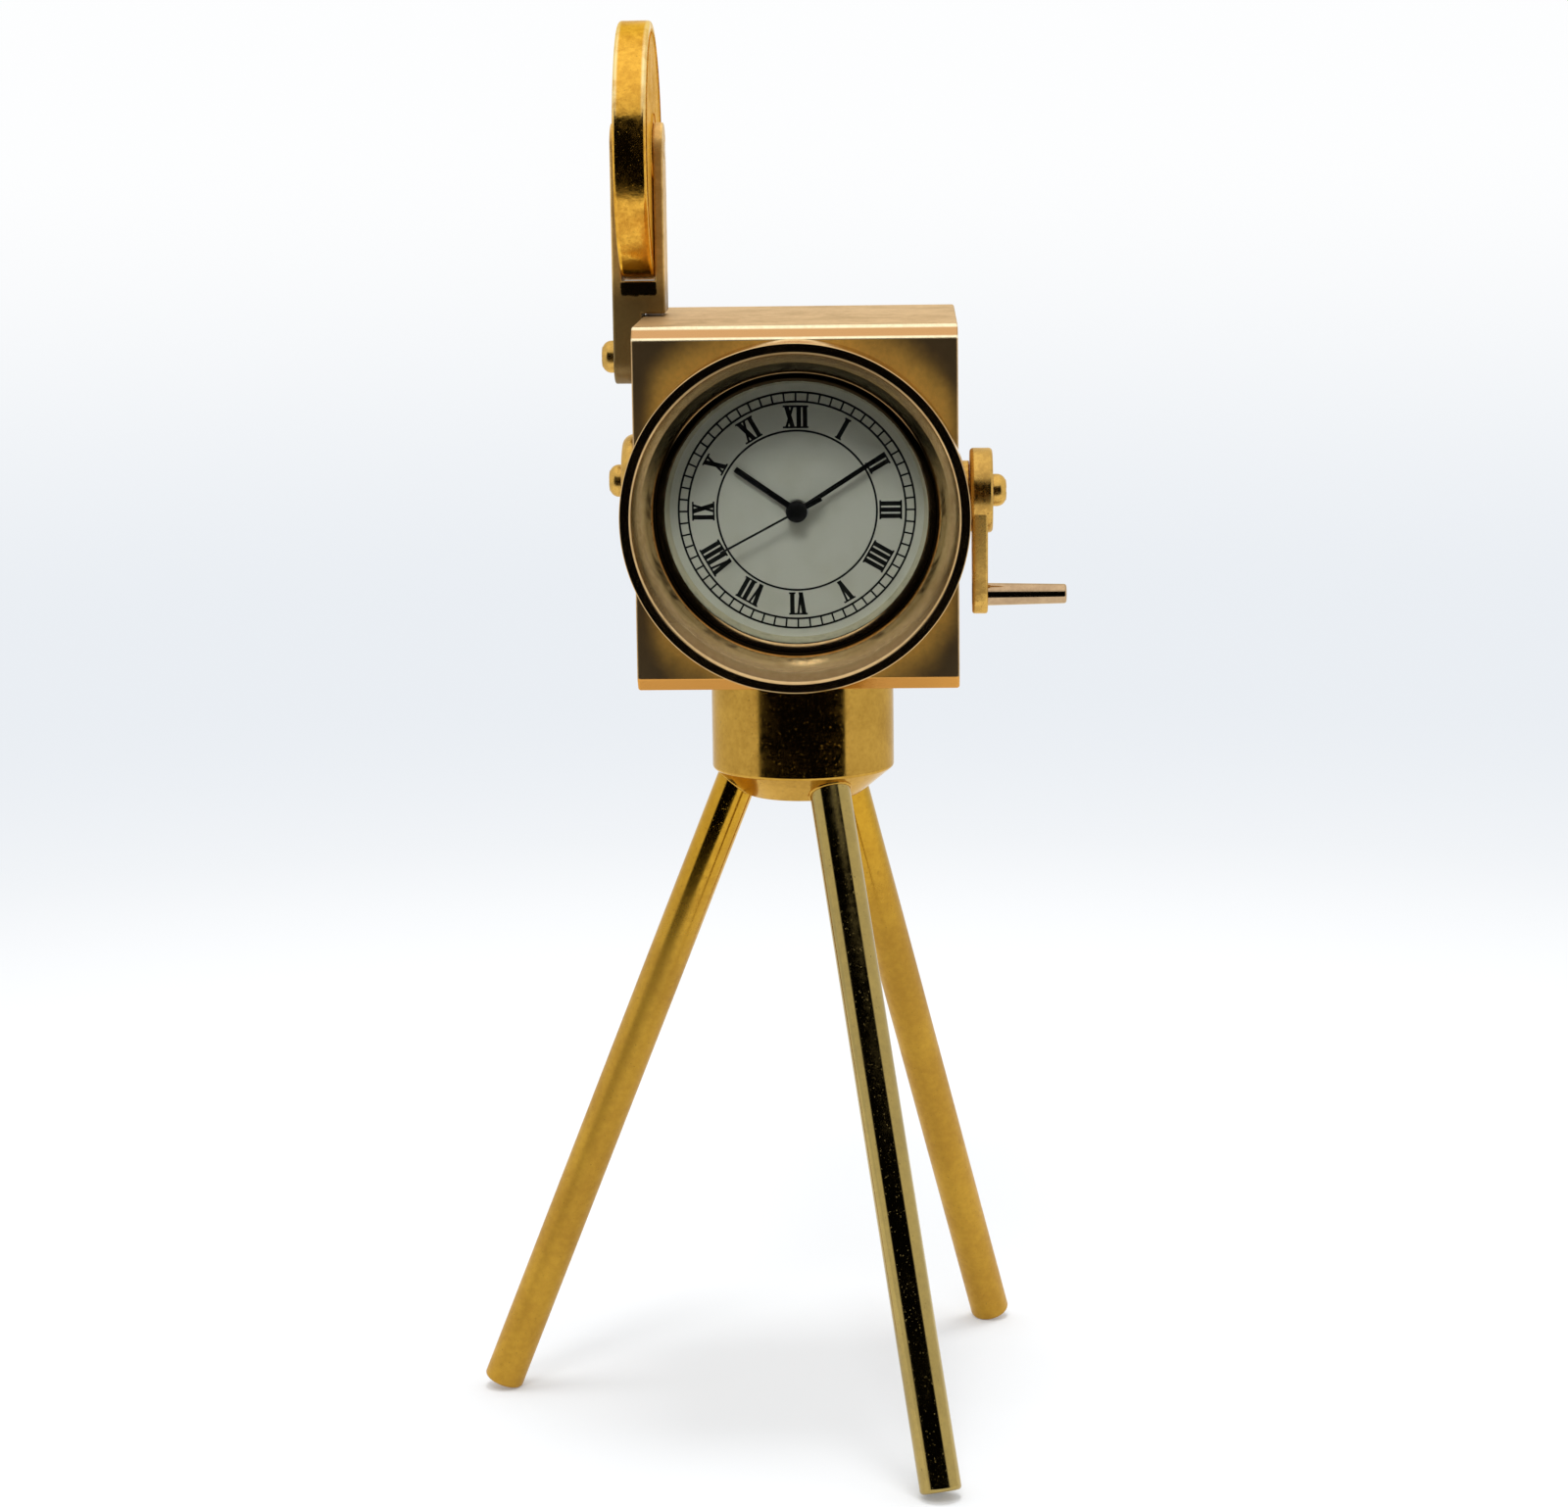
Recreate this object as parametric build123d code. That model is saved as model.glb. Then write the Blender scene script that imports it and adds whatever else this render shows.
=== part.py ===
"""Miniature quartz clock in the form of a hand-cranked film camera on a tripod.

Millimetres, +Z up. The origin lies on the table under the middle of the tripod.
The dial faces -Y and +X is on the right of someone reading the clock.
Each piece is written to parts/ as a STEP file that carries the piece's name.
"""
import os
from math import cos, radians, sin, sqrt, tan

from build123d import *

os.makedirs("parts", exist_ok=True)

# Fits
RUN_FIT = 0.04          # radial clearance of a turning shaft
AXIAL_PLAY = 0.05       # end float of a turning piece
SLIDE_FIT = 0.05        # radial clearance of the clock insert in its bore

# Tripod
HUB_TOP = 58.9          # height of the seat under the camera
HUB_DIA = 14.1
HUB_BARREL = 7.5        # straight height of the hub
HUB_CONE = 2.1          # height of the cone under it
HUB_FACE_DIA = 9.0      # flat under the cone
LEG_DIA = 3.15
LEG_LEAN = 21.8         # degrees from upright
LEG_TOP_R = 3.58        # leg axis from the hub axis at the leg's top end
LEG_ROOF = 4.6          # metal left above the legs
FIRST_LEG_ANGLE = -66.0
LEG_NAMES = ("front_leg", "rear_leg", "left_leg")
FOOT_ROUND = 0.3

# Pan screw that holds the camera on the hub
PAN_DIA = 2.0
PAN_HEAD_DIA = 3.8
PAN_HEAD_HEIGHT = 1.2
PAN_HEAD_ROUND = 0.3
PAN_HEAD_GAP = 0.3      # round the head in its counterbore
PAN_SLOT_WIDTH = 0.6
PAN_SLOT_DEPTH = 0.6
PAN_TIP_GAP = 0.35      # wall left above the screw's tip
WASHER_THICK = 0.3
WASHER_RIM = 0.15       # washer's edge inside its counterbore

# Camera case, a block bored from the front for the clock insert
CASE_DEPTH = 25.0
CASE_FRONT = 11.0       # case's front ahead of the hub's axis
SIDE_WALL = 1.2         # thinnest wall beside the bore
FLOOR_WALL = 2.5        # thinnest wall under the bore
ROOF_WALL = 3.0         # thinnest wall above the bore
BACK_WALL = 2.2
CASE_ROUND = 1.0        # along the top and bottom edges
CASE_EDGE = 0.2         # round the two sides

# Clock insert
INSERT_WALL = 0.5
HOLDER_WALL = 2.5       # plastic ring between the movement and the tube
GRIP_THICK = 0.3
GRIP_BASE = 0.15        # grip ring between its ribs
GRIP_RIBS = 4
GRIP_RIB_WIDTH = 0.45
GRIP_PITCH = 0.9
BEZEL_OVERHANG = 2.05   # bezel beyond the bore
BEZEL_DEPTH = 4.0
RIM_FLAT = 0.5
RIM_CHAMFER = 0.1
LIP_CHAMFER = 0.13
BEZEL_LAND = 0.15
RING_WIDTH = 0.7        # flat ring round the window
BEZEL_SKIRT = 1.0
CRYSTAL_LIP = 0.2       # bezel's hold on the crystal
CRYSTAL_THICK = 0.7
CRYSTAL_GAP = 0.15      # from the hand cap to the crystal
REHAUT_WALL = 0.5       # at the dial
DIAL_THICK = 0.3
DIAL_HOLE_GAP = 0.1
MOVEMENT_DIA = 15.0
MOVEMENT_WEB = 0.2      # between the hand pipes' well and the cell
WELL_DEPTH = 0.6        # hand pipes inside the movement
COVER_GAP = 1.6         # from the movement to the back cover
COVER_THICK = 0.8
COVER_RING_WALL = 1.0
COVER_RING_INSET = 0.3
CELL_DIA = 6.8
CELL_THICK = 2.1
CELL_STEP = 0.35
CELL_RIM = 0.5
CELL_FIT = 0.05
CELL_EDGE = 0.2         # from the cell to the cover's ring
STRAP_WIDTH = 1.6
STRAP_THICK = 0.15
STRAP_EDGE = 0.68       # from the strap's ends to the cover's ring
SETTING_EDGE = 1.36     # from the setting shaft's hole to the cover's ring
SETTING_SHAFT_DIA = 1.2
SETTING_SHAFT_DEPTH = 1.0
SETTING_KNOB_DIA = 4.4
SETTING_KNOB_THICK = 1.8
SETTING_KNOB_GAP = 0.3
SETTING_FLUTES = 12
SETTING_FLUTE_DIA = 0.5

# Hands, with angles clockwise from twelve and gaps from their tips to the inner ring
HAND_THICK = 0.15
HAND_GAP = 0.2
CAP_HEIGHT = 0.25
CAP_DIA = 1.6
ARBOR_DIA = 0.3
PIPE_WALL = 0.17
HAND_EYE_DIA = 1.5
HOUR_HAND = {"tip_gap": 3.95, "width": 0.44, "angle": 304.7}
MINUTE_HAND = {"tip_gap": 1.65, "width": 0.36, "angle": 57.4}
SECOND_HAND = {"tip_gap": 3.0, "width": 0.16, "angle": 242.0}
SECOND_TAIL = 2.1
SECOND_TAIL_WIDTH = 0.36

# Side screws, with a plain shoulder under a round head
HEAD_DIA = 2.5
HEAD_HEIGHT = 1.05
HEAD_ROUND = 0.7
RECESS_LENGTH = 1.3
RECESS_WIDTH = 0.34
RECESS_DEPTH = 0.45
SHOULDER_DIA = 1.6
THREAD_DIA = 1.2
THREAD_LENGTH = 2.0

# Crank on the right and knob on the left
SIDE_AXIS_Y = 1.5
SPACER_DIA = 4.6
SPACER_THICK = 0.95
BOSS_DIA = 6.55
BOSS_THICK = 1.75
BOSS_ROUND = 0.3
CRANK_THROW = 8.1
CRANK_ROOT_DIA = 6.4
CRANK_TIP_DIA = 3.0
CRANK_ARM_THICK = 1.2
CRANK_ARM_INSET = 0.15
CRANK_ARM_ROUND = 0.25
HANDLE_DIA = 1.75       # at the crank's arm
HANDLE_TIP_DIA = 1.5
HANDLE_REACH = 6.1      # handle outside the crank's arm
HANDLE_ROUND = 0.2
KNOB_RISE = 1.0         # knob axis above the crank axis
KNOB_DIA = 7.2
KNOB_THICK = 1.6
KNOB_ROUND = 0.9

# Film reel in its forked arm
REEL_DIA = 19.6
REEL_THICK = 2.5
REEL_EDGE_ROUND = 0.25
REEL_RIM = 0.9
REEL_RECESS = 0.35
REEL_HUB_DIA = 5.6
REEL_PIN_DIA = 1.6
ARM_Y = 3.8
ARM_WIDTH = 4.2
ARM_ROUND = 0.3
ARM_LEG = 2.25          # arm's thickness beside the case
FORK_CHEEK = 0.73
FORK_FLOOR = 2.55       # from the case to the fork's slot
ARM_STEP_GAP = 0.2      # from the case to the arm's step
REEL_GAP = 0.25         # under the reel
ARM_SCREW_DROP = 3.2    # below the top of the case

# Places worked out from the sizes above
movement_r = MOVEMENT_DIA / 2
tube_r = movement_r + HOLDER_WALL
insert_r = tube_r + INSERT_WALL
grip_r = insert_r + GRIP_THICK
bore_r = grip_r + SLIDE_FIT
bezel_r = bore_r + BEZEL_OVERHANG
window_r = tube_r - CRYSTAL_LIP
rehaut_r = tube_r - REHAUT_WALL
case_width = 2 * (bore_r + SIDE_WALL)
case_height = FLOOR_WALL + 2 * bore_r + ROOF_WALL
case_front = -CASE_FRONT
case_top = HUB_TOP + case_height
case_middle = HUB_TOP + case_height / 2
insert_z = HUB_TOP + FLOOR_WALL + bore_r
crank_z = case_middle
knob_z = crank_z + KNOB_RISE
reel_z = case_top + FORK_FLOOR + REEL_GAP + REEL_DIA / 2
arm_screw_z = case_top - ARM_SCREW_DROP
fork_gap = REEL_THICK + 2 * AXIAL_PLAY
arm_thick = fork_gap + 2 * FORK_CHEEK
pan_thread = FLOOR_WALL - PAN_TIP_GAP
hub_bottom = HUB_TOP - HUB_BARREL - HUB_CONE

# Stations along the insert's axis, forward of the case's front
hand_step = HAND_GAP + HAND_THICK
dial_front = -CRYSTAL_THICK - CRYSTAL_GAP - CAP_HEIGHT - 3 * hand_step
dial_back = dial_front - DIAL_THICK
movement_back = dial_back - WELL_DEPTH - MOVEMENT_WEB - CELL_THICK
cover_front = movement_back - COVER_GAP
cover_back = cover_front - COVER_THICK
well_floor = dial_back - WELL_DEPTH
arbor_r = ARBOR_DIA / 2
minute_pipe_in = arbor_r + RUN_FIT
minute_pipe_out = minute_pipe_in + PIPE_WALL
hour_pipe_in = minute_pipe_out + RUN_FIT
hour_pipe_out = hour_pipe_in + PIPE_WALL
well_r = hour_pipe_out + RUN_FIT
setting_hole_r = SETTING_SHAFT_DIA / 2 + RUN_FIT
clamp_r = movement_r - COVER_RING_INSET
clamp_in = clamp_r - COVER_RING_WALL
setting_x = clamp_in - SETTING_EDGE - setting_hole_r
cell_x = CELL_DIA / 2 + CELL_EDGE - clamp_in
strap_length = 2 * sqrt(clamp_in**2 - (STRAP_WIDTH / 2 - cell_x) ** 2) - 2 * STRAP_EDGE

# Working planes: each local +Z points out of the piece's face and local +Y is up
insert_plane = Plane((0, case_front, insert_z), x_dir=(1, 0, 0), z_dir=(0, -1, 0))
crank_plane = Plane((case_width / 2, SIDE_AXIS_Y, crank_z), x_dir=(0, 1, 0), z_dir=(1, 0, 0))
knob_plane = Plane((-case_width / 2, SIDE_AXIS_Y, knob_z), x_dir=(0, -1, 0), z_dir=(-1, 0, 0))
arm_plane = Plane((-case_width / 2, ARM_Y, arm_screw_z), x_dir=(0, -1, 0), z_dir=(-1, 0, 0))
reel_plane = Plane(
    (arm_thick / 2 - case_width / 2 - ARM_LEG, ARM_Y, reel_z), x_dir=(0, -1, 0), z_dir=(-1, 0, 0)
)


def outline(*corners):
    """Closed face through (x, y) corners, rounded where a third value gives a radius."""
    face = make_face(Polyline(*[corner[:2] for corner in corners], close=True))
    for corner in corners:
        if len(corner) == 3:
            face = fillet(face.vertices().sort_by_distance(corner[:2])[0], corner[2])
    return face


def turned(*corners):
    """Lathe-turned solid from (radius, station) corners about local Z."""
    return revolve(Plane.XZ * outline(*corners), Axis.Z)


def tube(outer, inner, start, end):
    """Plain ring or tube between two stations."""
    return turned((inner, start), (outer, start), (outer, end), (inner, end))


def rod(radius, start, end):
    """Plain round bar between two stations."""
    return turned((0, start), (radius, start), (radius, end), (0, end))


def leg(angle):
    """Tripod leg, cut square at its foot, with the foot's inner rim on the table."""
    lean = radians(LEG_LEAN)
    radius = LEG_DIA / 2
    foot_z = (radius - FOOT_ROUND) * sin(lean) + FOOT_ROUND * (1 - cos(lean))
    top_z = HUB_TOP - LEG_ROOF
    foot_r = LEG_TOP_R + (top_z - foot_z) * tan(lean)
    length = (top_z - foot_z) / cos(lean)
    turn = radians(angle)
    foot = (foot_r * cos(turn), foot_r * sin(turn), foot_z)
    rise = (-sin(lean) * cos(turn), -sin(lean) * sin(turn), cos(lean))
    shape = turned((0, 0), (radius, 0, FOOT_ROUND), (radius, length), (0, length))
    return Plane(foot, z_dir=rise) * shape


def tripod_hub(legs):
    """Coned hub with three leg sockets and a counterbored hole for the pan screw."""
    shape = turned(
        (0, hub_bottom),
        (HUB_FACE_DIA / 2, hub_bottom),
        (HUB_DIA / 2, hub_bottom + HUB_CONE),
        (HUB_DIA / 2, HUB_TOP),
        (0, HUB_TOP),
    )
    shape -= rod(PAN_DIA / 2 + RUN_FIT, hub_bottom, HUB_TOP)
    seat = hub_bottom + PAN_HEAD_HEIGHT + WASHER_THICK
    shape -= rod(PAN_HEAD_DIA / 2 + PAN_HEAD_GAP, hub_bottom, seat)
    for socket in legs:
        shape -= socket
    return shape


def pan_washer():
    """Friction washer between the pan screw's head and the hub."""
    seat = hub_bottom + PAN_HEAD_HEIGHT
    outer = PAN_HEAD_DIA / 2 + PAN_HEAD_GAP - WASHER_RIM
    return tube(outer, PAN_DIA / 2 + RUN_FIT, seat, seat + WASHER_THICK)


def pan_screw():
    """Slotted screw up through the hub into the case."""
    head = turned(
        (0, hub_bottom),
        (PAN_HEAD_DIA / 2, hub_bottom, PAN_HEAD_ROUND),
        (PAN_HEAD_DIA / 2, hub_bottom + PAN_HEAD_HEIGHT),
        (0, hub_bottom + PAN_HEAD_HEIGHT),
    )
    slot = Box(PAN_HEAD_DIA, PAN_SLOT_WIDTH, PAN_SLOT_DEPTH, align=(Align.CENTER, Align.CENTER, Align.MIN))
    head -= Pos(0, 0, hub_bottom) * slot
    return head + rod(PAN_DIA / 2, hub_bottom + PAN_HEAD_HEIGHT, HUB_TOP + pan_thread)


def side_screw(shoulder):
    """Round-headed cross-recess screw: head above local zero, shoulder and thread below."""
    radius = HEAD_DIA / 2
    head = turned((0, 0), (radius, 0), (radius, HEAD_HEIGHT, HEAD_ROUND), (0, HEAD_HEIGHT))
    for length, width in ((RECESS_LENGTH, RECESS_WIDTH), (RECESS_WIDTH, RECESS_LENGTH)):
        bar = Box(length, width, RECESS_DEPTH, align=(Align.CENTER, Align.CENTER, Align.MAX))
        head -= Pos(0, 0, HEAD_HEIGHT) * bar
    stem = rod(SHOULDER_DIA / 2, -shoulder, 0)
    return head + stem + rod(THREAD_DIA / 2, -shoulder - THREAD_LENGTH, -shoulder)


def camera_case():
    """Block rounded along its top and bottom, bored from the front, with tapped holes."""
    profile = Plane.YZ * RectangleRounded(CASE_DEPTH, case_height, CASE_ROUND)
    block = extrude(profile, case_width / 2, both=True)
    block = fillet(block.faces().filter_by(Axis.X).edges(), CASE_EDGE)
    shape = Pos(0, case_front + CASE_DEPTH / 2, case_middle) * block
    shape -= insert_plane * rod(bore_r, BACK_WALL - CASE_DEPTH, 0)
    shape -= rod(PAN_DIA / 2, HUB_TOP, HUB_TOP + pan_thread)
    for plane in (crank_plane, knob_plane, arm_plane):
        shape -= plane * rod(THREAD_DIA / 2, -THREAD_LENGTH, 0)
    return shape


def bezel_ring():
    """Flared lens hood that caps the insert's tube and holds the crystal."""
    mouth_r = bezel_r - RIM_CHAMFER - RIM_FLAT - LIP_CHAMFER
    shape = turned(
        (window_r, 0),
        (window_r, BEZEL_LAND),
        (window_r + RING_WIDTH, BEZEL_LAND),
        (mouth_r, BEZEL_DEPTH - LIP_CHAMFER),
        (mouth_r + LIP_CHAMFER, BEZEL_DEPTH),
        (bezel_r - RIM_CHAMFER, BEZEL_DEPTH),
        (bezel_r, BEZEL_DEPTH - RIM_CHAMFER),
        (bezel_r, 0),
        (grip_r, 0),
        (grip_r, -BEZEL_SKIRT),
        (insert_r, -BEZEL_SKIRT),
        (insert_r, 0),
    )
    return insert_plane * shape


def grip_ring():
    """Ribbed rubber ring that holds the insert in the bore."""
    end = -BEZEL_SKIRT
    start = end - GRIP_RIBS * GRIP_PITCH
    shape = tube(insert_r + GRIP_BASE, insert_r, start, end)
    for rib in range(GRIP_RIBS):
        edge = end - rib * GRIP_PITCH
        shape += tube(grip_r, insert_r, edge - GRIP_RIB_WIDTH, edge)
    return insert_plane * shape


def movement():
    """Sealed quartz movement with wells for the pipes, the cell and the setting shaft."""
    shape = rod(movement_r, movement_back, dial_back)
    shape -= rod(well_r, well_floor, dial_back)
    shape -= Pos(cell_x, 0, 0) * rod(
        CELL_DIA / 2 + CELL_FIT, movement_back, movement_back + CELL_THICK
    )
    shape -= Pos(setting_x, 0, 0) * rod(
        setting_hole_r, movement_back, movement_back + SETTING_SHAFT_DEPTH
    )
    return insert_plane * shape


def button_cell():
    """Button cell with its stepped contact face inside the movement."""
    inner = movement_back + CELL_THICK
    outer_r = CELL_DIA / 2
    shape = turned(
        (0, movement_back),
        (outer_r, movement_back),
        (outer_r, inner - CELL_STEP),
        (outer_r - CELL_RIM, inner - CELL_STEP),
        (outer_r - CELL_RIM, inner),
        (0, inner),
    )
    return insert_plane * (Pos(cell_x, 0, 0) * shape)


def cell_strap():
    """Spring strip across the cell, resting on the movement at both ends."""
    strip = SlotOverall(strap_length, STRAP_WIDTH, rotation=90)
    plate = extrude(Pos(cell_x, 0, movement_back - STRAP_THICK) * strip, STRAP_THICK)
    return insert_plane * plate


def back_cover():
    """Cover on the tube's back, with a ring that clamps the movement."""
    shape = rod(insert_r, cover_back, cover_front)
    shape += tube(clamp_r, clamp_in, cover_front, movement_back)
    shape -= Pos(setting_x, 0, 0) * rod(setting_hole_r, cover_back, cover_front)
    return insert_plane * shape


def setting_knob():
    """Fluted knob behind the back cover on its shaft into the movement."""
    top = cover_back - SETTING_KNOB_GAP
    radius = SETTING_KNOB_DIA / 2
    shape = rod(radius, top - SETTING_KNOB_THICK, top)
    for flute in PolarLocations(radius, SETTING_FLUTES):
        shape -= flute * rod(SETTING_FLUTE_DIA / 2, top - SETTING_KNOB_THICK, top)
    shaft_end = movement_back + SETTING_SHAFT_DEPTH - AXIAL_PLAY
    shape += rod(SETTING_SHAFT_DIA / 2, top, shaft_end)
    return insert_plane * (Pos(setting_x, 0, 0) * shape)


def hand_base(layer):
    """Station of the back of a hand, counted from the dial."""
    return dial_front + HAND_GAP + layer * hand_step


def hand(size, layer, bore=0.0):
    """Straight baton hand with a round eye, turned clockwise to its angle."""
    length = rehaut_r - size["tip_gap"]
    bar = Pos(0, length / 2) * Rectangle(size["width"], length)
    flat = bar + Circle(HAND_EYE_DIA / 2)
    if layer == 2:
        flat += Pos(0, -SECOND_TAIL / 2) * Rectangle(SECOND_TAIL_WIDTH, SECOND_TAIL)
    if bore:
        flat -= Circle(bore)
    plate = extrude(Rot(0, 0, -size["angle"]) * flat, HAND_THICK)
    return insert_plane * (Pos(0, 0, hand_base(layer)) * plate)


def hand_pipe(outer, inner, layer):
    """Tube that carries a hand, from the movement's well to the hand's front."""
    return insert_plane * tube(outer, inner, well_floor + AXIAL_PLAY, hand_base(layer) + HAND_THICK)


def hand_cap():
    """Low dome over the middle of the second hand."""
    base = hand_base(2) + HAND_THICK
    rise = CAP_DIA / 2
    dome = Pos(0, 0, base) * scale(Sphere(rise), by=(1, 1, CAP_HEIGHT / rise))
    below = Box(CAP_DIA, CAP_DIA, CAP_DIA, align=(Align.CENTER, Align.CENTER, Align.MAX))
    return insert_plane * (dome - Pos(0, 0, base) * below)


def crank():
    """Boss and tapered arm in one casting, hanging down from the crank's screw."""
    inner = SPACER_THICK + AXIAL_PLAY
    outer = inner + BOSS_THICK
    radius = BOSS_DIA / 2
    boss = turned((0, inner), (radius, inner, BOSS_ROUND), (radius, outer, BOSS_ROUND), (0, outer))
    web = make_hull(
        (Circle(CRANK_ROOT_DIA / 2) + Pos(0, -CRANK_THROW) * Circle(CRANK_TIP_DIA / 2)).edges()
    )
    arm = extrude(Pos(0, 0, inner + CRANK_ARM_INSET) * web, CRANK_ARM_THICK)
    rims = arm.faces().filter_by(Axis.Z).edges()
    shape = boss + fillet(rims, CRANK_ARM_ROUND)
    shape -= rod(SHOULDER_DIA / 2 + RUN_FIT, inner, outer)
    shape -= Pos(0, -CRANK_THROW, 0) * rod(HANDLE_DIA / 2, inner, outer)
    return crank_plane * shape


def crank_handle():
    """Slightly tapered handle pressed into the crank's arm."""
    inner = SPACER_THICK + AXIAL_PLAY + CRANK_ARM_INSET
    root = inner + CRANK_ARM_THICK
    end = root + HANDLE_REACH
    radius = HANDLE_DIA / 2
    tip_r = HANDLE_TIP_DIA / 2
    shape = turned((0, inner), (radius, inner), (radius, root), (tip_r, end, HANDLE_ROUND), (0, end))
    return crank_plane * (Pos(0, -CRANK_THROW, 0) * shape)


def side_knob():
    """Round-edged knob on its shoulder screw."""
    radius = KNOB_DIA / 2
    bore = SHOULDER_DIA / 2 + RUN_FIT
    outer = AXIAL_PLAY + KNOB_THICK
    shape = turned((bore, AXIAL_PLAY), (radius, AXIAL_PLAY), (radius, outer, KNOB_ROUND), (bore, outer))
    return knob_plane * shape


def reel_arm():
    """Forked arm stepped over the case's top edge and screwed to its side."""
    rise = reel_z - arm_screw_z
    bar = Pos(0, rise / 2) * SlotCenterToCenter(rise, ARM_WIDTH, rotation=90)
    shape = extrude(Pos(0, 0, ARM_LEG - arm_thick) * bar, arm_thick)
    shape = fillet(shape.faces().filter_by(Axis.Z).edges(), ARM_ROUND)
    corner = (Align.CENTER, Align.MAX, Align.MAX)
    shape -= Pos(0, ARM_SCREW_DROP + ARM_STEP_GAP, 0) * Box(ARM_WIDTH, rise, arm_thick, align=corner)
    gap = Box(ARM_WIDTH, 2 * rise, fork_gap, align=(Align.CENTER, Align.MIN, Align.CENTER))
    middle = ARM_LEG - arm_thick / 2
    shape -= Pos(0, ARM_SCREW_DROP + FORK_FLOOR, middle) * gap
    shape -= rod(SHOULDER_DIA / 2, 0, ARM_LEG)
    shape -= Pos(0, rise, 0) * rod(REEL_PIN_DIA / 2, ARM_LEG - arm_thick, ARM_LEG)
    return arm_plane * shape


def film_reel():
    """Disc with a raised rim and hub on both faces."""
    half = REEL_THICK / 2
    bore = REEL_PIN_DIA / 2 + RUN_FIT
    radius = REEL_DIA / 2
    hub_r = REEL_HUB_DIA / 2
    rim_r = radius - REEL_RIM
    floor = half - REEL_RECESS
    shape = turned(
        (bore, -half),
        (hub_r, -half),
        (hub_r, -floor),
        (rim_r, -floor),
        (rim_r, -half),
        (radius, -half, REEL_EDGE_ROUND),
        (radius, half, REEL_EDGE_ROUND),
        (rim_r, half),
        (rim_r, floor),
        (hub_r, floor),
        (hub_r, half),
        (bore, half),
    )
    return reel_plane * shape


def reel_pin():
    """Pin through both cheeks of the fork, flush with their outsides."""
    return reel_plane * rod(REEL_PIN_DIA / 2, -arm_thick / 2, arm_thick / 2)


legs = {}
for index, name in enumerate(LEG_NAMES):
    legs[name] = leg(FIRST_LEG_ANGLE + index * 360 / len(LEG_NAMES))

holder = tube(tube_r, movement_r, cover_front, dial_back)
rehaut = turned(
    (rehaut_r, dial_front), (tube_r, dial_front), (tube_r, -CRYSTAL_THICK), (window_r, -CRYSTAL_THICK)
)
dial = tube(tube_r, well_r + DIAL_HOLE_GAP, dial_back, dial_front)
crank_head = SPACER_THICK + BOSS_THICK + 2 * AXIAL_PLAY
knob_head = KNOB_THICK + 2 * AXIAL_PLAY

pieces = {
    **legs,
    "tripod_hub": tripod_hub(legs.values()),
    "pan_washer": pan_washer(),
    "pan_screw": pan_screw(),
    "camera_case": camera_case(),
    "reel_arm": reel_arm(),
    "arm_screw": arm_plane * (Pos(0, 0, ARM_LEG) * side_screw(ARM_LEG)),
    "film_reel": film_reel(),
    "reel_pin": reel_pin(),
    "crank_spacer": crank_plane * tube(SPACER_DIA / 2, SHOULDER_DIA / 2, 0, SPACER_THICK),
    "crank": crank(),
    "crank_handle": crank_handle(),
    "crank_screw": crank_plane * (Pos(0, 0, crank_head) * side_screw(crank_head)),
    "side_knob": side_knob(),
    "knob_screw": knob_plane * (Pos(0, 0, knob_head) * side_screw(knob_head)),
    "bezel_ring": bezel_ring(),
    "insert_tube": insert_plane * tube(insert_r, tube_r, cover_front, 0),
    "grip_ring": grip_ring(),
    "crystal": insert_plane * rod(tube_r, -CRYSTAL_THICK, 0),
    "rehaut_ring": insert_plane * rehaut,
    "dial": insert_plane * dial,
    "movement_holder": insert_plane * holder,
    "movement": movement(),
    "button_cell": button_cell(),
    "cell_strap": cell_strap(),
    "back_cover": back_cover(),
    "setting_knob": setting_knob(),
    "hour_hand": hand(HOUR_HAND, 0, hour_pipe_out),
    "hour_pipe": hand_pipe(hour_pipe_out, hour_pipe_in, 0),
    "minute_hand": hand(MINUTE_HAND, 1, minute_pipe_out),
    "minute_pipe": hand_pipe(minute_pipe_out, minute_pipe_in, 1),
    "second_hand": hand(SECOND_HAND, 2),
    "second_arbor": insert_plane * rod(arbor_r, well_floor + AXIAL_PLAY, hand_base(2)),
    "hand_cap": hand_cap(),
}

for name, piece in pieces.items():
    export_step(piece, f"parts/{name}.step")
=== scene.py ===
"""Dressed scene of a miniature quartz clock shaped as a hand-cranked film camera.

Shapes are worked out in millimetres with numpy and stored in metres, in the frame of the CAD:
+Z up, the dial towards -Y, +X on the crank's side, the origin on the table under the hub.
"""
import logging
from dataclasses import dataclass
from enum import Enum
from functools import reduce
from typing import Sequence, Union

import bmesh
import bpy
import numpy as np
from mathutils import Matrix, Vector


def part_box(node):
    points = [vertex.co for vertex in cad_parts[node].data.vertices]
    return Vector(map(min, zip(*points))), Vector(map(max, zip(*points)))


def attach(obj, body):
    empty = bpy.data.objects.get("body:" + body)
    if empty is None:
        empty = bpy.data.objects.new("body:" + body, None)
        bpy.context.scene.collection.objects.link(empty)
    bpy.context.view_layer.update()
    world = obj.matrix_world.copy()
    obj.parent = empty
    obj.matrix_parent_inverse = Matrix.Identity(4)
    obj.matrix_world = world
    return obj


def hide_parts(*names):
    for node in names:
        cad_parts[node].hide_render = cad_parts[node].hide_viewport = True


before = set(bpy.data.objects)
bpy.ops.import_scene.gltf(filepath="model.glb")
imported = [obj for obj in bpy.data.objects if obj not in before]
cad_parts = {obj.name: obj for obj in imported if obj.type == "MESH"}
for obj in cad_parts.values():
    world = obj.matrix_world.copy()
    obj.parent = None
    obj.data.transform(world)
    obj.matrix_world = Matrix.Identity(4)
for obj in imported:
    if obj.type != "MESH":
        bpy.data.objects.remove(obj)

Array = np.ndarray
Pair = tuple[float, float]
Triple = tuple[float, float, float]
Color = tuple[float, float, float]
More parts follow.
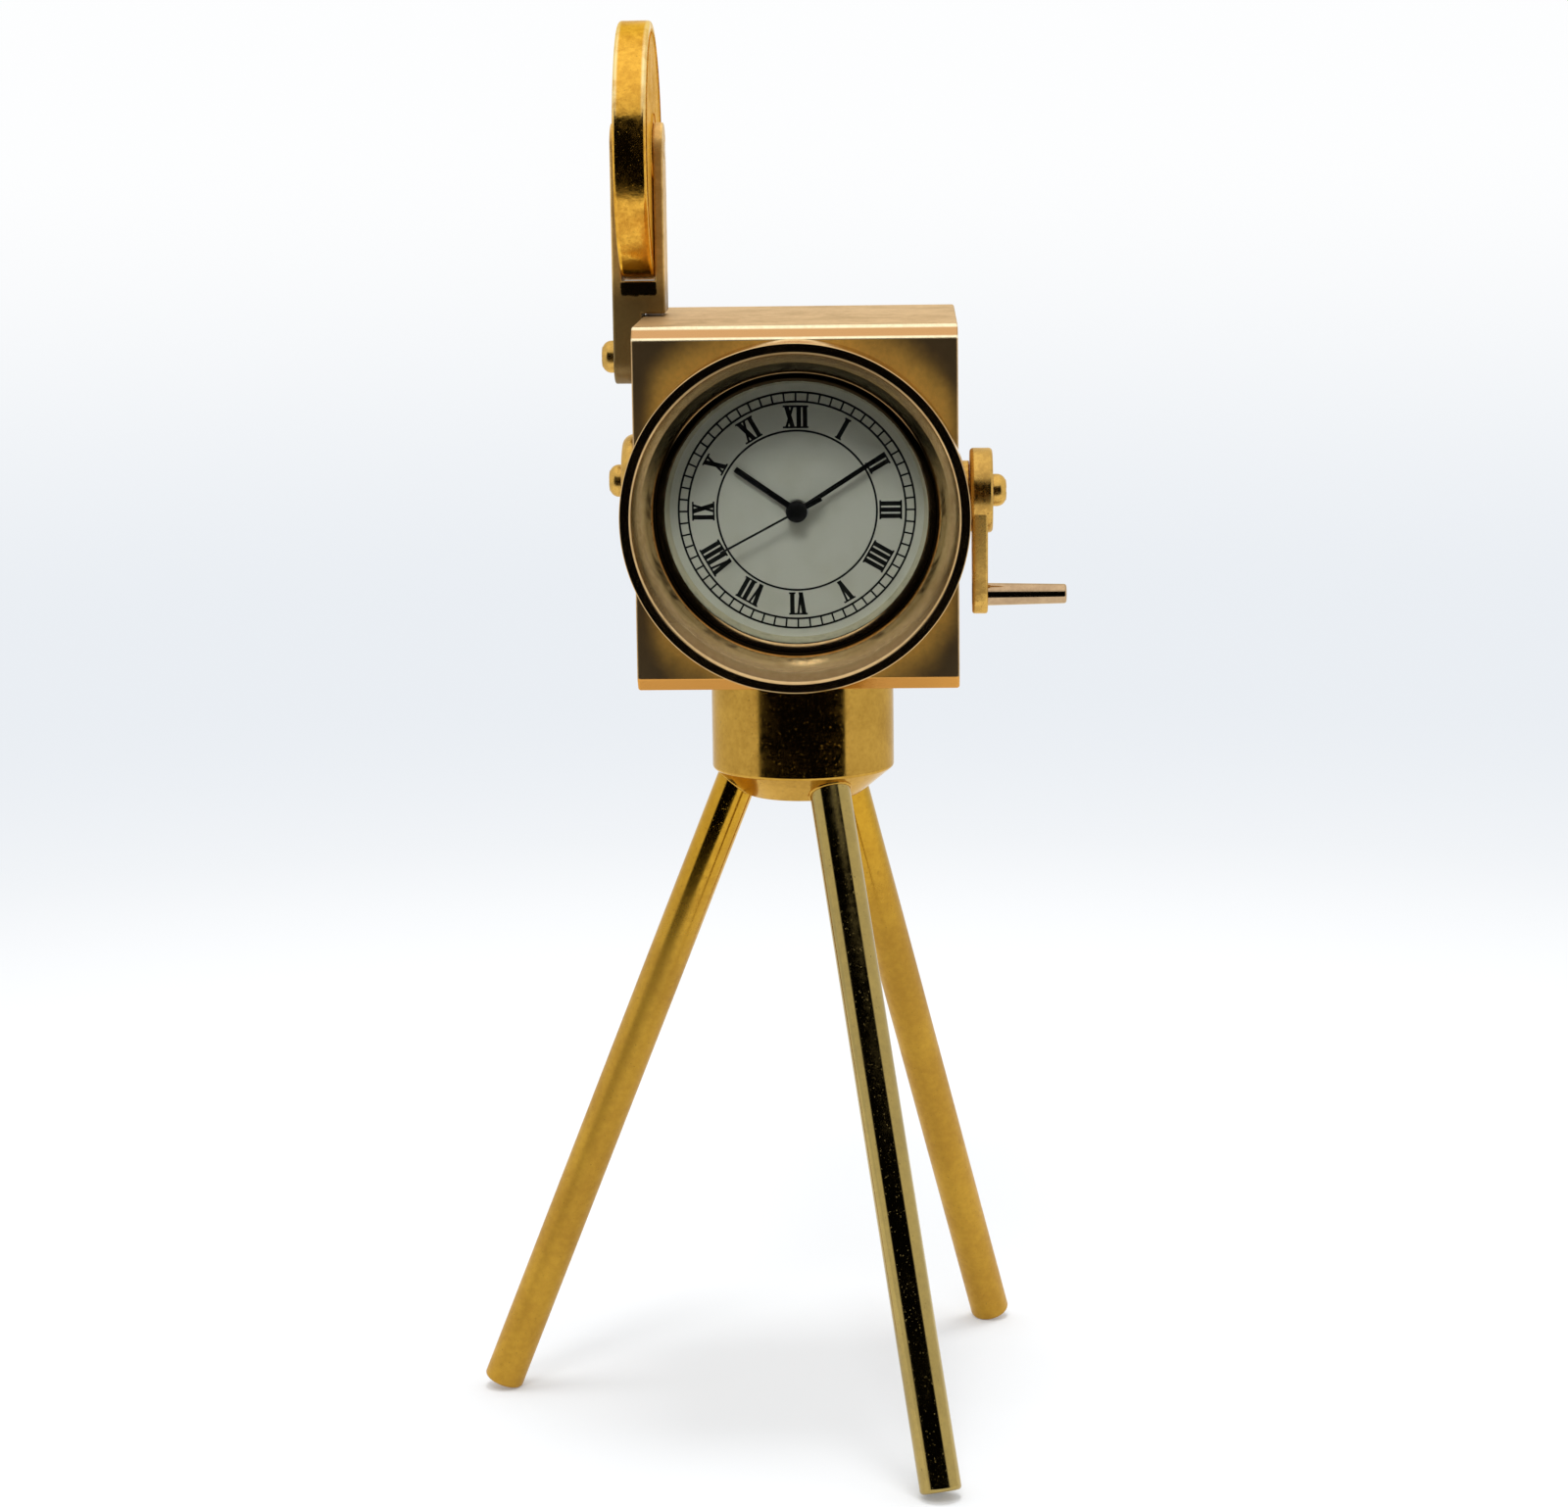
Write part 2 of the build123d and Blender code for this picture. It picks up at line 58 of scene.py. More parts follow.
Corner = tuple[float, ...]
Outline = tuple[Array, Array]
Socket = bpy.types.NodeSocket
Value = Union[Socket, float]

MM = 0.001
TURN = 2 * np.pi
TUCK = 0.02  # millimetres from a rounding to the next point on its flat
NEAR_AXIS = 1e-6  # millimetres
WELD = 1e-8  # metres between points that become one
CREASE = np.radians(40.0)  # edges bent by more stay sharp
LOG = logging.getLogger("camera_clock")
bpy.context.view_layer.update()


class Close(Enum):
    """How an end of a lofted skin is finished."""

    OPEN = "open"
    POLE = "pole"
    FACE = "face"


class Body(str, Enum):
    """Moving bodies of the clock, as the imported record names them."""

    TRIPOD = "tripod"
    CAMERA = "camera"
    CRANK = "crank"
    KNOB = "knob"
    REEL = "reel"
    INSERT = "insert"
    HOUR = "hour"
    MINUTE = "minute"
    SECOND = "second"


@dataclass(frozen=True)
class NodeBox:
    """Lowest and highest corner of a CAD node, in millimetres."""

    low: Array
    high: Array

    @classmethod
    def of(cls, node: str) -> "NodeBox":
        """Box of the named CAD node."""
        low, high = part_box(node)
        return cls(np.array(low) / MM, np.array(high) / MM)

    @property
    def size(self) -> Array:
        """Lengths of the box's sides."""
        return self.high - self.low

    @property
    def middle(self) -> Array:
        """Middle of the box."""
        return (self.low + self.high) / 2


@dataclass(frozen=True)
class Axes:
    """Right-handed local axes of a piece, with z out of its face."""

    origin: Array
    x: Array
    y: Array
    z: Array

    @classmethod
    def facing(
        cls, origin: Sequence[float], z: Sequence[float], up: Sequence[float] = (0, 0, 1)
    ) -> "Axes":
        """Axes at a point that look along z, with y as near to up as it goes.

        Args:
            origin: where the local zero lies, in millimetres.
            z: direction out of the face.
            up: direction that y leans to.

        Returns:
            The axes, each of unit length.
        """
        out = np.array(z, float) / np.linalg.norm(z)
        side = np.cross(np.array(up, float), out)
        side /= np.linalg.norm(side)
        return cls(np.array(origin, float), side, np.cross(out, side), out)

    def place(self, local: Array) -> Array:
        """Local points, (..., 3), carried into the clock's frame."""
        return self.origin + local @ np.stack([self.x, self.y, self.z])

    def matrix(self) -> Matrix:
        """Matrix of an object with these axes, whose origin is given in metres."""
        rows = np.stack([self.x, self.y, self.z, self.origin], -1)
        return Matrix([*rows.tolist(), (0, 0, 0, 1)])


@dataclass
class Shape:
    """Points and faces of a mesh, in millimetres."""

    points: Array
    faces: list[Array]

    def __add__(self, other: "Shape") -> "Shape":
        """Both shapes in one mesh."""
        moved = [rows + len(self.points) for rows in other.faces]
        return Shape(np.vstack([self.points, other.points]), self.faces + moved)


def rounded(corners: Sequence[Corner], ring: bool, steps: int = 7) -> Array:
    """Line through corners, each rounded by an arc that touches both of its sides.

    The arc's centre is on the corner's bisector, at the radius over the sine of half the corner's
    angle. Its points are weighted means of the two touching radii, by sines of the angle turned.
    One more point a tuck past each end of the arc keeps the flats flat in the shading.

    Args:
        corners: (radius, station) or (radius, station, round) of each corner.
        ring: True if the line closes on itself.
        steps: points on each arc.

    Returns:
        Points of the line, (n, 2).
    """
    line = []
    count = len(corners)
    for i, corner in enumerate(corners):
        here = np.array(corner[:2], float)
        if len(corner) == 2 or (not ring and i in (0, count - 1)):
            line.append(here[None])
            continue
        before = np.array(corners[i - 1][:2], float) - here
        after = np.array(corners[(i + 1) % count][:2], float) - here
        before /= np.linalg.norm(before)
        after /= np.linalg.norm(after)
        half = np.arccos(np.clip(before @ after, -1, 1)) / 2
        reach = corner[2] / np.tan(half)
        bisector = before + after
        centre = here + bisector / np.linalg.norm(bisector) * corner[2] / np.sin(half)
        first = here + before * reach - centre
        last = here + after * reach - centre
        turn = np.pi - 2 * half
        share = np.linspace(0, 1, steps)[:, None]
        mean = np.sin((1 - share) * turn) * first + np.sin(share * turn) * last
        ends = here + before * (reach + TUCK), here + after * (reach + TUCK)
        line.append(np.vstack([ends[0], centre + mean / np.sin(turn), ends[1]]))
    return np.vstack(line)


def loft(
    rings: Array, start: Close, end: Close, poles: Sequence[Array | None] = (None, None)
) -> Shape:
    """Skin over rings of points: a quad joins each two neighbours on each two rings.

    Args:
        rings: (rings, points on a ring, 3).
        start: finish of the first ring.
        end: finish of the last ring.
        poles: points where the ends close to a pole; a ring's own mean where it is None.

    Returns:
        The skin.
    """
    count, around, _ = rings.shape
    index = np.arange(count * around).reshape(count, around)
    low, high = index[:-1], index[1:]
    quads = np.stack([low, np.roll(low, -1, 1), np.roll(high, -1, 1), high], -1).reshape(-1, 4)
    points = [rings.reshape(-1, 3)]
    faces = [quads]
    for close, pole, row, flip in ((start, poles[0], 0, True), (end, poles[1], -1, False)):
        edge = index[row][::-1] if flip else index[row]
        if close is Close.FACE:
            faces.append(edge[None])
        if close is Close.POLE:
            tip = count * around + len(points) - 1
            points.append((rings[row].mean(0) if pole is None else pole)[None])
            faces.append(np.stack([edge, np.roll(edge, -1), np.full(around, tip)], -1))
    return Shape(np.vstack(points), faces)


def lathe(
    axes: Axes, corners: Sequence[Corner], ring: bool = False, segments: int = 160
) -> Shape:
    """Turned piece: a rounded line carried round local z on circles of its radius.

    Args:
        axes: place of the piece.
        corners: (radius, station[, round]), from the back along the outside to the front.
        ring: True if the line closes on itself, as on a tube.
        segments: points round each circle.

    Returns:
        The skin, with a pole where the line meets the axis.
    """
    line = rounded(corners, ring)
    angle = TURN * np.arange(segments) / segments
    if ring:
        line = np.vstack([line, line[:1]])
    on_axis = line[[0, -1], 0] < NEAR_AXIS
    inner = line[int(on_axis[0]): len(line) - int(on_axis[1])]
    circle = np.stack([np.cos(angle), np.sin(angle)], -1)
    stations = np.broadcast_to(inner[:, None, 1:], (len(inner), segments, 1))
    rings = np.concatenate([inner[:, None, :1] * circle, stations], -1)
    tips = [
        axes.place(np.array([0, 0, line[row, 1]])) if on else None
        for row, on in zip((0, -1), on_axis)
    ]
    ends = [Close.POLE if on else Close.OPEN for on in on_axis]
    return loft(axes.place(rings), ends[0], ends[1], tips)


def arcs(parts: Sequence[tuple[float, float, float, float, float]], steps: int) -> Outline:
    """Closed outline of arcs joined by straight sides.

    Args:
        parts: (middle x, middle y, radius, first angle, last angle) of each arc, anticlockwise.
        steps: points on each arc.

    Returns:
        Points, (n, 2), and the outward direction at each.
    """
    rows = np.array(parts, float)
    angle = rows[:, 3:4] + (rows[:, 4:5] - rows[:, 3:4]) * np.linspace(0, 1, steps)
    out = np.stack([np.cos(angle), np.sin(angle)], -1)
    points = rows[:, None, :2] + rows[:, None, 2:3] * out
    return points.reshape(-1, 2), out.reshape(-1, 2)


def box_outline(
    low: Sequence[float], high: Sequence[float], radius: float, steps: int = 8
) -> Outline:
    """Rectangle between two corners, with a quarter circle at each of its own.

    Args:
        low: its lower left corner.
        high: its upper right corner.
        radius: of the quarter circles.
        steps: points on each of them.

    Returns:
        Points and outward directions.
    """
    x0, y0, x1, y1 = low[0] + radius, low[1] + radius, high[0] - radius, high[1] - radius
    quarter = TURN / 4
    centres = ((x1, y0), (x1, y1), (x0, y1), (x0, y0))
    parts = [(*c, radius, (i - 1) * quarter, i * quarter) for i, c in enumerate(centres)]
    return arcs(parts, steps)


def drop_outline(root: float, tip: float, throw: float, steps: int = 48) -> Outline:
    """Outline round a root circle at zero and a tip circle below it, with sides that touch both.

    Args:
        root: radius of the root circle.
        tip: radius of the tip circle.
        throw: from one circle's middle to the other's.
        steps: points on each arc.

    Returns:
        Points and outward directions.
    """
    lean = np.arcsin((root - tip) / throw)
    half = TURN / 2
    ends = ((0, 0, root, -lean, half + lean), (0, -throw, tip, half + lean, TURN - lean))
    return arcs(ends, steps)


def plate(
    axes: Axes, outline: Outline, back: float, front: float, rim: float, steps: int = 6
) -> Shape:
    """Plate with an outline and rounded rims.

    Each ring is the outline moved in by rim times one less the sine of the arc's angle.

    Args:
        axes: place of the plate.
        outline: points and outward directions.
        back: station of its back face.
        front: station of its front face.
        rim: radius of its rims.
        steps: rings on each rim.

    Returns:
        The closed skin.
    """
    points, out = outline
    angle = np.linspace(0, TURN / 4, steps)
    rise, fall = rim * (1 - np.sin(angle)), rim * (1 - np.cos(angle))
    inset = np.concatenate([[rim + TUCK], rise, fall, [rim + TUCK]])
    level = np.concatenate([[back], back + fall, front - rise, [front]])
    flat = points[None] - inset[:, None, None] * out[None]
    stations = np.broadcast_to(level[:, None, None], (*flat.shape[:2], 1))
    return loft(axes.place(np.concatenate([flat, stations], -1)), Close.FACE, Close.FACE)


def prisms(axes: Axes, quads: Array, back: float, front: float) -> Shape:
    """Thin four-sided prisms: each quad at both stations, joined by four sides.

    Args:
        axes: place of the prisms.
        quads: (m, 4, 2), anticlockwise.
        back: station of their backs.
        front: station of their fronts.

    Returns:
        The prisms in one shape.
    """
    count = len(quads)
    low = np.concatenate([quads, np.full((count, 4, 1), back)], -1)
    high = np.concatenate([quads, np.full((count, 4, 1), front)], -1)
    points = np.concatenate([low, high], 1).reshape(-1, 3)
    sides = [[0, 1, 5, 4], [1, 2, 6, 5], [2, 3, 7, 6], [3, 0, 4, 7]]
    pattern = np.array([[3, 2, 1, 0], [4, 5, 6, 7], *sides])
    faces = (8 * np.arange(count)[:, None, None] + pattern).reshape(-1, 4)
    return Shape(axes.place(points), [faces])


class Nodes:
    """Writes the nodes of one tree, socket by socket."""

    def __init__(self, tree: bpy.types.NodeTree) -> None:
        """Empties the tree."""
        self.tree = tree
        tree.nodes.clear()

    def node(self, kind: str, inputs: dict | None = None, **settings: object) -> bpy.types.Node:
        """Adds a node.

        Args:
            kind: Blender's name of the node.
            inputs: constant or socket for each input, by its name or number.
            **settings: attributes of the node.

        Returns:
            The node.
        """
        made = self.tree.nodes.new(kind)
        for key, value in settings.items():
            setattr(made, key, value)
        for key, value in (inputs or {}).items():
            self.put(made.inputs[key], value)
        return made

    def put(self, socket: Socket, value: object) -> None:
        """Links a socket to another one, or sets its constant.

        Args:
            socket: the input.
            value: a socket, a number, a vector or a colour.
        """
        if isinstance(value, Socket):
            self.tree.links.new(value, socket)
        elif isinstance(value, tuple) and len(value) == 3 and socket.type == "RGBA":
            socket.default_value = (*value, 1.0)
        else:
            socket.default_value = value

    def math(self, operation: str, first: Value, second: Value = 0.0) -> Socket:
        """Result of a math node."""
        return self.node("ShaderNodeMath", {0: first, 1: second}, operation=operation).outputs[0]

    def times(self, *values: Value) -> Socket:
        """Product of the values, from the first on."""
        return reduce(lambda one, two: self.math("MULTIPLY", one, two), values)

    def plus(self, first: Value, second: Value) -> Socket:
        """Sum of two values."""
        return self.math("ADD", first, second)

    def less(self, first: Value, second: Value) -> Socket:
        """First value less the second."""
        return self.math("SUBTRACT", first, second)

    def off(self, value: Value, middle: float) -> Socket:
        """Distance of a coordinate from a middle given in millimetres."""
        return self.math("ABSOLUTE", self.less(value, middle * MM))

    def apart(self, first: Socket, at: float, second: Socket, to: float) -> Socket:
        """Distance of a point from a place: the root of both coordinates' squared differences.

        Args:
            first: one coordinate of the point.
            at: the place's, in millimetres.
            second: the other coordinate of the point.
            to: the place's, in millimetres.

        Returns:
            The distance.
        """
        one, two = self.less(first, at * MM), self.less(second, to * MM)
        return self.math("SQRT", self.plus(self.times(one, one), self.times(two, two)))

    def remap(
        self, value: Value, low: float, high: float, to_low: float = 0.0, to_high: float = 1.0
    ) -> Socket:
        """Value carried smoothly from one range to another, and kept inside it.

        Args:
            value: what is carried.
            low: start of its range.
            high: end of its range.
            to_low: result at the start.
            to_high: result at the end.

        Returns:
            The result.
        """
        ends = {"From Min": low, "From Max": high, "To Min": to_low, "To Max": to_high}
        kind = "ShaderNodeMapRange"
        return self.node(kind, {"Value": value, **ends}, interpolation_type="SMOOTHSTEP").outputs[0]

    def span(
        self, value: Value, low: float, high: float, to_low: float = 0.0, to_high: float = 1.0
    ) -> Socket:
        """A length carried from a range in millimetres, as remap does."""
        return self.remap(value, low * MM, high * MM, to_low, to_high)

    def fade(self, angle: Value, ends: Pair) -> Socket:
        """One below the first angle and zero above the second, both in degrees."""
        return self.remap(angle, np.radians(ends[0]), np.radians(ends[1]), 1.0, 0.0)

    def blend(self, share: Value, first: object, second: object) -> Socket:
        """First colour at share zero, second at one."""
        inputs = {0: share, 6: first, 7: second}
        return self.node("ShaderNodeMix", inputs, data_type="RGBA").outputs[2]

    def xyz(self, vector: Socket) -> Sequence[Socket]:
        """The three parts of a vector."""
        return self.node("ShaderNodeSeparateXYZ", {0: vector}).outputs


class Graph(Nodes):
    """Node tree of one material with a principled shader."""

    def __init__(self, name: str) -> None:
        """Starts a material with a shader and its output.

        Args:
            name: of the material.
        """
        self.material = bpy.data.materials.new(name)
        self.material.use_nodes = True
        super().__init__(self.material.node_tree)
        self.shader = self.node("ShaderNodeBsdfPrincipled")
        surface = {"Surface": self.shader.outputs["BSDF"]}
        self.output = self.node("ShaderNodeOutputMaterial", surface)

    def set(self, **values: object) -> None:
        """Sets the shader's inputs; an underscore stands for a space in their names."""
        for key, value in values.items():
            self.put(self.shader.inputs[key.replace("_", " ")], value)

    def cover(self, share: Value, top: Socket) -> None:
        """Mixes a share of another shader over the principled one."""
        both = self.node("ShaderNodeMixShader", {0: share, 1: self.shader.outputs["BSDF"], 2: top})
        self.put(self.output.inputs["Surface"], both.outputs[0])

    def coords(self, scale: Triple | None = None) -> Socket:
        """Object coordinates, stretched by the scale where there is one.

        Args:
            scale: along the three axes.

        Returns:
            The coordinates.
        """
        place = self.node("ShaderNodeTexCoord").outputs["Object"]
        if scale is None:
            return place
        return self.node("ShaderNodeMapping", {"Vector": place, "Scale": scale}).outputs["Vector"]

    def noise(
        self, vector: Socket, size: float, detail: float = 3, rough: float = 0.5, twist: float = 0.0
    ) -> Socket:
        """Noise with features of about the size.

        Args:
            vector: the coordinates.
            size: in millimetres.
            detail: octaves.
            rough: weight of the finer octaves.
            twist: distortion.

        Returns:
            The noise, about a half.
        """
        inputs = {"Vector": vector, "Scale": 1 / (size * MM), "Detail": detail}
        inputs |= {"Roughness": rough, "Distortion": twist}
        return self.node("ShaderNodeTexNoise", inputs).outputs["Fac"]

    def bump(self, height: Socket, depth: float = 1.0) -> Socket:
        """Normal bent by a height map whose full range is the depth, in millimetres."""
        inputs = {"Height": height, "Distance": depth * MM}
        return self.node("ShaderNodeBump", inputs).outputs["Normal"]


def dimmed(color: Color, share: float) -> Color:
    """The colour times a share."""
    return tuple(share * c for c in color)


@dataclass
class Coat:
    """Sockets of a plating while wear and painted light go on, with its place and plain colours."""

    x: Socket
    y: Socket
    z: Socket
    clouds: Socket
    mottle: Socket
    colour: Socket
    rough: Socket
    height: Socket
    metal: Value
    tint: Color
    stain: Color


class WearAndPaintedLight:
    """Wear from making or use, and painted light and shade, on a plating. Places are in
    millimetres.
    """

    def apply(self, g: Graph, coat: Coat) -> None:
        """Changes the coat's sockets."""
        raise NotImplementedError


@dataclass(frozen=True)
class LowSatin(WearAndPaintedLight):
    """Plating that turns satin from the high height down to the low one."""

    low: float
    high: float
    rougher: float = 0.28
    less_metal: float = 0.4

    def apply(self, g: Graph, coat: Coat) -> None:
        """Adds roughness and takes metal away, more so the lower a point is.

        Args:
            g: the material's graph.
            coat: the coat to change.
        """
        dull = g.span(coat.z, self.high, self.low)
        coat.rough = g.plus(coat.rough, g.times(dull, self.rougher))
        coat.metal = g.less(coat.metal, g.times(dull, self.less_metal))


@dataclass(frozen=True)
class TurnedFace(WearAndPaintedLight):
    """Satin face with fine grooves inside a circle about an axis along x."""

    y: float
    z: float
    radius: float
    edge: float = 0.1
    rougher: float = 0.2
    pitch: float = 0.3
    depth: float = 0.016

    def inside(self, g: Graph, coat: Coat) -> tuple[Socket, Socket]:
        """Distance of a point from the axis, and one inside the circle and zero outside it.

        Args:
            g: the material's graph.
            coat: the coat.

        Returns:
            Both sockets.
        """
        out = g.apart(coat.y, self.y, coat.z, self.z)
        return out, g.span(out, self.radius, self.radius - self.edge)

    def apply(self, g: Graph, coat: Coat) -> None:
        """Adds roughness, and grooves whose height is a sine of the distance from the axis.

        Args:
            g: the material's graph.
            coat: the coat to change.
        """
        out, inside = self.inside(g, coat)
        coat.rough = g.plus(coat.rough, g.times(inside, self.rougher))
        grooves = g.math("SINE", g.times(out, TURN / (self.pitch * MM)))
        coat.height = g.plus(coat.height, g.times(grooves, inside, self.depth))


@dataclass(frozen=True)
class PaintedEdgeHighlight(WearAndPaintedLight):
    """Painted highlight on the edges of a rim, half its width from its middle, in their upper part.
    """

    face: TurnedFace
    middle: float
    half: float
    tint: Color
    band: Pair = (0.42, 0.2)
    rise: Pair = (1.0, 5.0)
    share: float = 0.8
    least: float = 0.5

    def apply(self, g: Graph, coat: Coat) -> None:
        """Blends the painted highlight's pale tint in outside the turned face, less so in the
        clouds.

        Args:
            g: the material's graph.
            coat: the coat to change.
        """
        inner, outer = (self.half - back for back in self.band)
        # painted highlight: pale only on the rim's edges and only in their upper part
        worn_and_painted = g.span(g.off(coat.x, self.middle), inner, outer, 0.0, self.share)
        above = g.span(coat.z, *(self.face.z + rise for rise in self.rise))
        rim = g.less(1.0, self.face.inside(g, coat)[1])
        patchy = g.remap(coat.clouds, 0.0, 1.0, 1.0, self.least)
        coat.colour = g.blend(g.times(worn_and_painted, above, rim, patchy), coat.colour, self.tint)


@dataclass(frozen=True)
class PaintedLowShade(WearAndPaintedLight):
    """Painted shade: plating darkened from the high height down to the low one."""

    low: float
    high: float
    unshaded: float = 0.2
    tone: float = 0.12

    def apply(self, g: Graph, coat: Coat) -> None:
        """Blends the painted shade's dark tone in, down to the unshaded share that is left.

        Args:
            g: the material's graph.
            coat: the coat to change.
        """
        # painted shade, darker towards the low height
        unshaded = g.span(coat.z, self.low, self.high, self.unshaded, 1.0)
        coat.colour = g.blend(unshaded, dimmed(coat.tint, self.tone), coat.colour)


@dataclass(frozen=True)
class PaintedBlackShadow(WearAndPaintedLight):
    """Painted shadow: a smooth black patch in a box, its middle and half-width along x, and
    heights.
    """

    middle: float
    half: float
    low: float
    high: float
    side_fade: float = 0.3
    low_fade: float = 0.5
    high_fade: Pair = (0.02, -0.08)
    ragged: float = 0.3
    smoother: float = 0.3
    tone: float = 0.02

    def apply(self, g: Graph, coat: Coat) -> None:
        """Blackens the painted shadow's patch and smooths it, with an edge that the mottle makes
        ragged.

        Args:
            g: the material's graph.
            coat: the coat to change.
        """
        side = g.span(g.off(coat.x, self.middle), self.half, self.half - self.side_fade)
        foot = g.span(coat.z, self.low, self.low + self.low_fade)
        head = g.span(coat.z, *(self.high + fade for fade in self.high_fade))
        worn_and_painted = g.less(g.times(side, foot, head), g.times(coat.mottle, self.ragged))
        worn_and_painted = g.remap(worn_and_painted, 0.0, 0.5)
        coat.rough = g.less(coat.rough, g.times(worn_and_painted, self.smoother))
        # painted shadow: the patch turns black
        coat.colour = g.blend(worn_and_painted, coat.colour, dimmed(coat.tint, self.tone))


@dataclass(frozen=True)
class HoodShade(WearAndPaintedLight):
    """Darkened inside of the hood: dim towards its top, black in the upper half of its throat.

    A thin line at the throat's step is black all round but for its top, where it stays light. The
    mouth, the step and the black zone are radii about the hood's axis. Levels are heights above
    the axis, as shares of the mouth's radius.
    """

    x: float = 0.0
    z: float = 72.25
    mouth: float = 12.3
    step: float = 10.46
    black: float = 11.4
    mouth_edge: float = 0.1
    black_edge: float = 0.05
    line: Pair = (0.14, 0.1)
    flank: Pair = (-0.5, 0.2)
    dim_levels: Pair = (0.3, 0.95)
    black_levels: Pair = (0.05, 0.45)
    line_levels: Pair = (0.4, 0.6)
    flank_levels: Pair = (-0.3, -0.7)
    dim_share: float = 0.72
    dim_tone: float = 0.15
    black_tone: float = 0.03
    less_metal: float = 0.3

    def above(self, g: Graph, coat: Coat, levels: Pair, top: float = 1.0) -> Socket:
        """Zero at the first level and the top value at the second."""
        return g.span(coat.z, *(self.z + level * self.mouth for level in levels), 0.0, top)

    def apply(self, g: Graph, coat: Coat) -> None:
        """Blends the dim and the black tone in, and takes metal away on the lower flank.

        Args:
            g: the material's graph.
            coat: the coat to change.
        """
        out = g.apart(coat.x, self.x, coat.z, self.z)
        within = g.span(out, self.mouth, self.mouth - self.mouth_edge)
        dim = g.times(within, self.above(g, coat, self.dim_levels, self.dim_share))
        colour = g.blend(dim, coat.colour, dimmed(coat.stain, self.dim_tone))
        line = g.span(g.off(out, self.step), *self.line)
        zone = g.span(out, self.black + self.black_edge, self.black - self.black_edge)
        deep = g.times(self.above(g, coat, self.black_levels), zone)
        crest = self.above(g, coat, self.line_levels)
        deep = g.less(g.math("MAXIMUM", deep, line), g.times(line, crest))
        coat.colour = g.blend(deep, colour, dimmed(coat.stain, self.black_tone))
        flank = g.span(out, *(self.black + edge for edge in self.flank))
        flank = g.times(within, flank, self.above(g, coat, self.flank_levels))
        coat.metal = g.less(coat.metal, g.times(flank, self.less_metal))


@dataclass(frozen=True)
class GoldPlate:
    """Gold plating with cloudy stains, a grain, pinholes and a hand-polished ripple.

    Sizes and depths are in millimetres. The edge is the tint kept at grazing angles.
    """

    name: str
    tint: Color
    stain: Color
    gloss: Pair
    cloud: float = 3.0
    grain: float = 0.4
    specks: float = 0.5
    ripple: float = 0.004
    pits: float = 0.006
    edge: Color = (0.95, 0.86, 0.68)
    metal: float = 1.0
    # wear and painted light and shade, applied in order
    wear_and_painted_light: tuple[WearAndPaintedLight, ...] = ()
    hole: float = 0.17
    hole_tone: float = 0.2
    waves: Pair = (1.6, 0.28)
    short_wave: float = 0.3
    shares: Pair = (0.55, 0.45)

    def material(self) -> bpy.types.Material:
        """Metal whose colour and roughness follow clouds and grain, with dark pinholes in it.

        Returns:
            The material.
        """
        g = Graph(self.name)
        place = g.coords()
        clouds = g.remap(g.noise(place, self.cloud, detail=4, rough=0.6, twist=0.6), 0.34, 0.68)
        mottle = g.remap(g.noise(place, self.grain, detail=4, rough=0.65), 0.32, 0.68)
        holes = g.remap(g.noise(place, self.hole, detail=2), 0.68, 0.75)
        shade = g.plus(g.times(clouds, self.shares[0]), g.times(mottle, self.shares[1]))
        colour = g.blend(shade, self.tint, self.stain)
        colour = g.blend(g.times(holes, self.specks), colour, dimmed(self.stain, self.hole_tone))
        long, short = (g.noise(place, size, detail=2) for size in self.waves)
        waves = g.plus(long, g.times(short, self.short_wave))
        height = g.less(g.times(waves, self.ripple), g.times(holes, self.pits))
        rough = g.remap(shade, 0.1, 0.9, *self.gloss)
        coat = Coat(
            *g.xyz(place), clouds, mottle, colour, rough, height, self.metal, self.tint, self.stain
        )
        for wear_and_painted_light in self.wear_and_painted_light:
            wear_and_painted_light.apply(g, coat)
        g.set(
            Base_Color=coat.colour, Metallic=coat.metal, Specular_Tint=self.edge,
            Roughness=coat.rough, Normal=g.bump(coat.height),
        )
        return g.material


